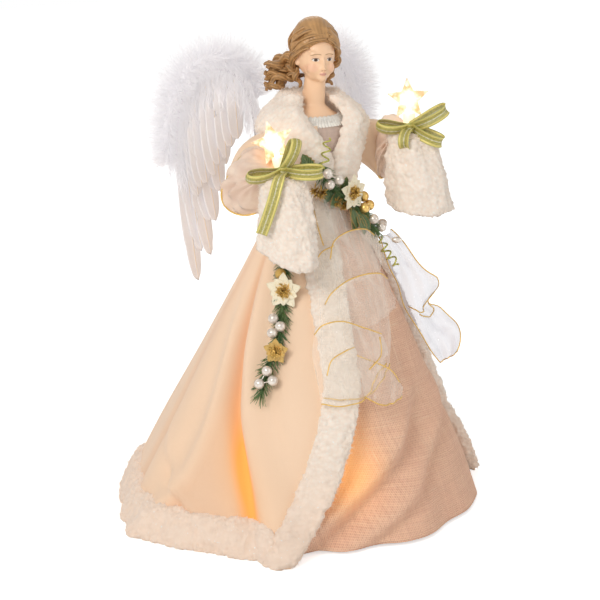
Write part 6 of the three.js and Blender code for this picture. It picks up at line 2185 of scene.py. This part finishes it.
def puff_skin(rows, seed):
    """A soft skin through a puff's rows, drawn into fine gathers at its lower edge."""
    routes = [Path([Vector(p) for p in row], 40) for row in rows]

    def skin(u, v):
        stops = [route.at(u) for route in routes]
        k, t = row_at(len(stops), v)
        before, after = stops[max(0, k - 1)], stops[min(len(stops) - 1, k + 2)]
        a, b = stops[k], stops[k + 1]
        spot = 0.5 * (
            2 * a + (b - before) * t + (2 * before - 5 * a + 4 * b - after) * t * t
            + (3 * a - before - 3 * b + after) * t**3
        )
        off = spot.z + 0.7 * wave(5 * u + 0.5 * v + 0.2 * seed) * v
        off += arch(v) * 3.4 * rumple(3.4 * u, 2.2 * v, 1.7 * seed)
        off += arch(v) * 1.5 * rumple(2.5 * u, 3 * v, 3.1 * seed)
        for scale, depth in ((6, 1.7), (11, 0.9)):
            wrinkle = rumple(scale * (u + 0.35 * v), 0.5 * scale * v, 2.3 * seed)
            off += depth * (0.35 - abs(wrinkle)) * min(1, 3 * v)
        return on_figure(spot.x, spot.y, max(12.4, off))

    return skin


class TOPPER_OT_organza(bpy.types.Operator):
    """Adds the sheer wired organza in front and at the left side"""

    bl_idname = "topper.organza"
    bl_label = "Organza"

    def execute(self, context):
        c = colours()
        sheer = sheer_finish("Sheer organza", c.organza, 0.2, 0.0006)
        cool = sheer_finish("Cool organza", (0.56, 0.54, 0.6), 0.5, 0.0006)
        gold = gold_finish(c, "Gold edge thread")
        parts, wires = [], []
        for k, rows in enumerate(PUFFS):
            skin = puff_skin(rows, k)
            parts.append(shape(70, 16 * len(rows), skin, cloth=lambda u, v: (u * 0.06, v * 0.045)))
            if k:
                wires.append([skin(i / 40, 0) for i in range(41)])
            if k in (0, 5, 6):
                wires.append([skin(i / 40, 1) for i in range(41)])
        wires += [[on_figure(*p) for p in row] for row in SHORT_WIRES]
        fall = piece("organza_fall", join(parts), sheer, "organza", nodes=["organza_front"])
        edges = [pipe(Path(w, 60), 0.55, 6, 60) for w in wires]
        piece("organza_fall_edges", join(edges), gold, "gold_paint")

        tail = [
            (0.378, -0.39, -0.332), (0.47, -0.39, -0.52), (0.57, -0.41, -0.76),
            (0.65, -0.45, -1.0), (0.76, -0.53, -1.24), (0.86, -0.64, -1.44),
        ]
        path = Path([waist_place(p) for p in tail], 100)
        way = Vector((0.86, -0.5, 0.35))

        def ribbon(u, v):
            along = path.tangent(v)
            turn = Matrix.Rotation(math.radians(26 * math.sin(6.5 * v)), 3, along)
            wide = turn @ (way - along * way.dot(along)).normalized()
            out = along.cross(wide).normalized()
            width = 33 * (0.35 + 0.65 * min(1, 2.5 * v)) * (1 - 0.3 * bump(v, 0.62, 0.06))
            width *= math.sqrt(max(0.02, 1 - clamp((v - 0.8) / 0.2) ** 2 * 0.75))
            ripple = 3.6 * wave(1.7 * v + 0.7 * u) + 1.2 * wave(3 * u + v)
            ripple += 2 * rumple(2 * u, 5 * v, 9)
            return path.at(v) + wide * (u * width) + out * ripple

        bm = shape(44, 120, ribbon, cloth=lambda u, v: (u * 0.033, v * 0.14))
        side_tail = piece("organza_tail", bm, cool, "organza", nodes=["organza_side"])
        edges = [[ribbon(u, i / 50) for i in range(51)] for u in (0.0, 1.0)]
        edges.append([ribbon(i / 16, 1.0) for i in range(17)])
        for level, first in ((0.55, 0.1), (0.63, 0.3)):
            arc = [(lerp(first, 1, i / 14), level + 0.09 * arch(i / 14)) for i in range(15)]
            edges.append([ribbon(*p) + Vector((-0.9, -1.1, 0)) for p in arc])
        routes = [pipe(Path(w, 80), 0.5, 6, 90) for w in edges]
        piece("organza_tail_edges", join(routes), gold, "gold_paint")
        return {"FINISHED"}


# Parts that keep their solids


class TOPPER_OT_hardware(bpy.types.Operator):
    """Gives the cone, the body form, the wires and the holders their finishes"""

    bl_idname = "topper.hardware"
    bl_label = "Cone, form and wires"

    def execute(self, context):
        shell = moulded_finish("Cone shell", (0.87, 0.83, 0.76), 260, 0.5, 0.1)
        card = moulded_finish("Body form", (0.82, 0.76, 0.66), 120, 0.8, 0.2)
        lead = moulded_finish("Light lead", (0.84, 0.84, 0.8), 300, 0.3, 0.03, coat_weight=0.3)
        holder = moulded_finish("Lamp holder", (0.85, 0.83, 0.77), 400, 0.35, 0.03)
        steel = steel_finish()
        glass = bpy.data.materials["Lamp glass"]
        finishes = {
            "tree_cone": shell, "cone_cap": shell, "torso_form": card, "light_wire": lead,
            "lamp_holder_right": holder, "lamp_holder_left": holder, "arm_wire": steel,
            "wing_bracket": steel, "wing_frame_right": steel, "wing_frame_left": steel,
        }
        finishes.update({f"skirt_lamp_{i}": glass for i in range(1, 5)})
        for node, finish in finishes.items():
            paint(node, finish)
        return {"FINISHED"}


STEPS = (
    TOPPER_OT_stage, TOPPER_OT_robe, TOPPER_OT_underskirt, TOPPER_OT_trimmings, TOPPER_OT_sleeves,
    TOPPER_OT_head, TOPPER_OT_hair, TOPPER_OT_candles, TOPPER_OT_bows, TOPPER_OT_wings,
    TOPPER_OT_greens, TOPPER_OT_beads, TOPPER_OT_organza, TOPPER_OT_hardware,
)


class TOPPER_PT_panel(bpy.types.Panel):
    """Lists the steps that make the topper, and what a user may change"""

    bl_label = "Angel Tree Topper"
    bl_idname = "TOPPER_PT_panel"
    bl_space_type = "VIEW_3D"
    bl_region_type = "UI"
    bl_category = "Topper"

    def draw(self, context):
        for group in (context.scene.topper_sizes, context.scene.topper_colours):
            box = self.layout.box()
            for name in group.__annotations__:
                box.prop(group, name)
        for step in STEPS:
            self.layout.operator(step.bl_idname)


CLASSES = (TopperColours, TopperSizes, *STEPS, TOPPER_PT_panel)


def register():
    for each in CLASSES:
        bpy.utils.register_class(each)
    bpy.types.Scene.topper_colours = PointerProperty(type=TopperColours)
    bpy.types.Scene.topper_sizes = PointerProperty(type=TopperSizes)


def unregister():
    del bpy.types.Scene.topper_colours
    del bpy.types.Scene.topper_sizes
    for each in reversed(CLASSES):
        bpy.utils.unregister_class(each)


def main():
    register()
    for step in STEPS:
        group, name = step.bl_idname.split(".")
        getattr(getattr(bpy.ops, group), name)()


if __name__ == "__main__":
    main()
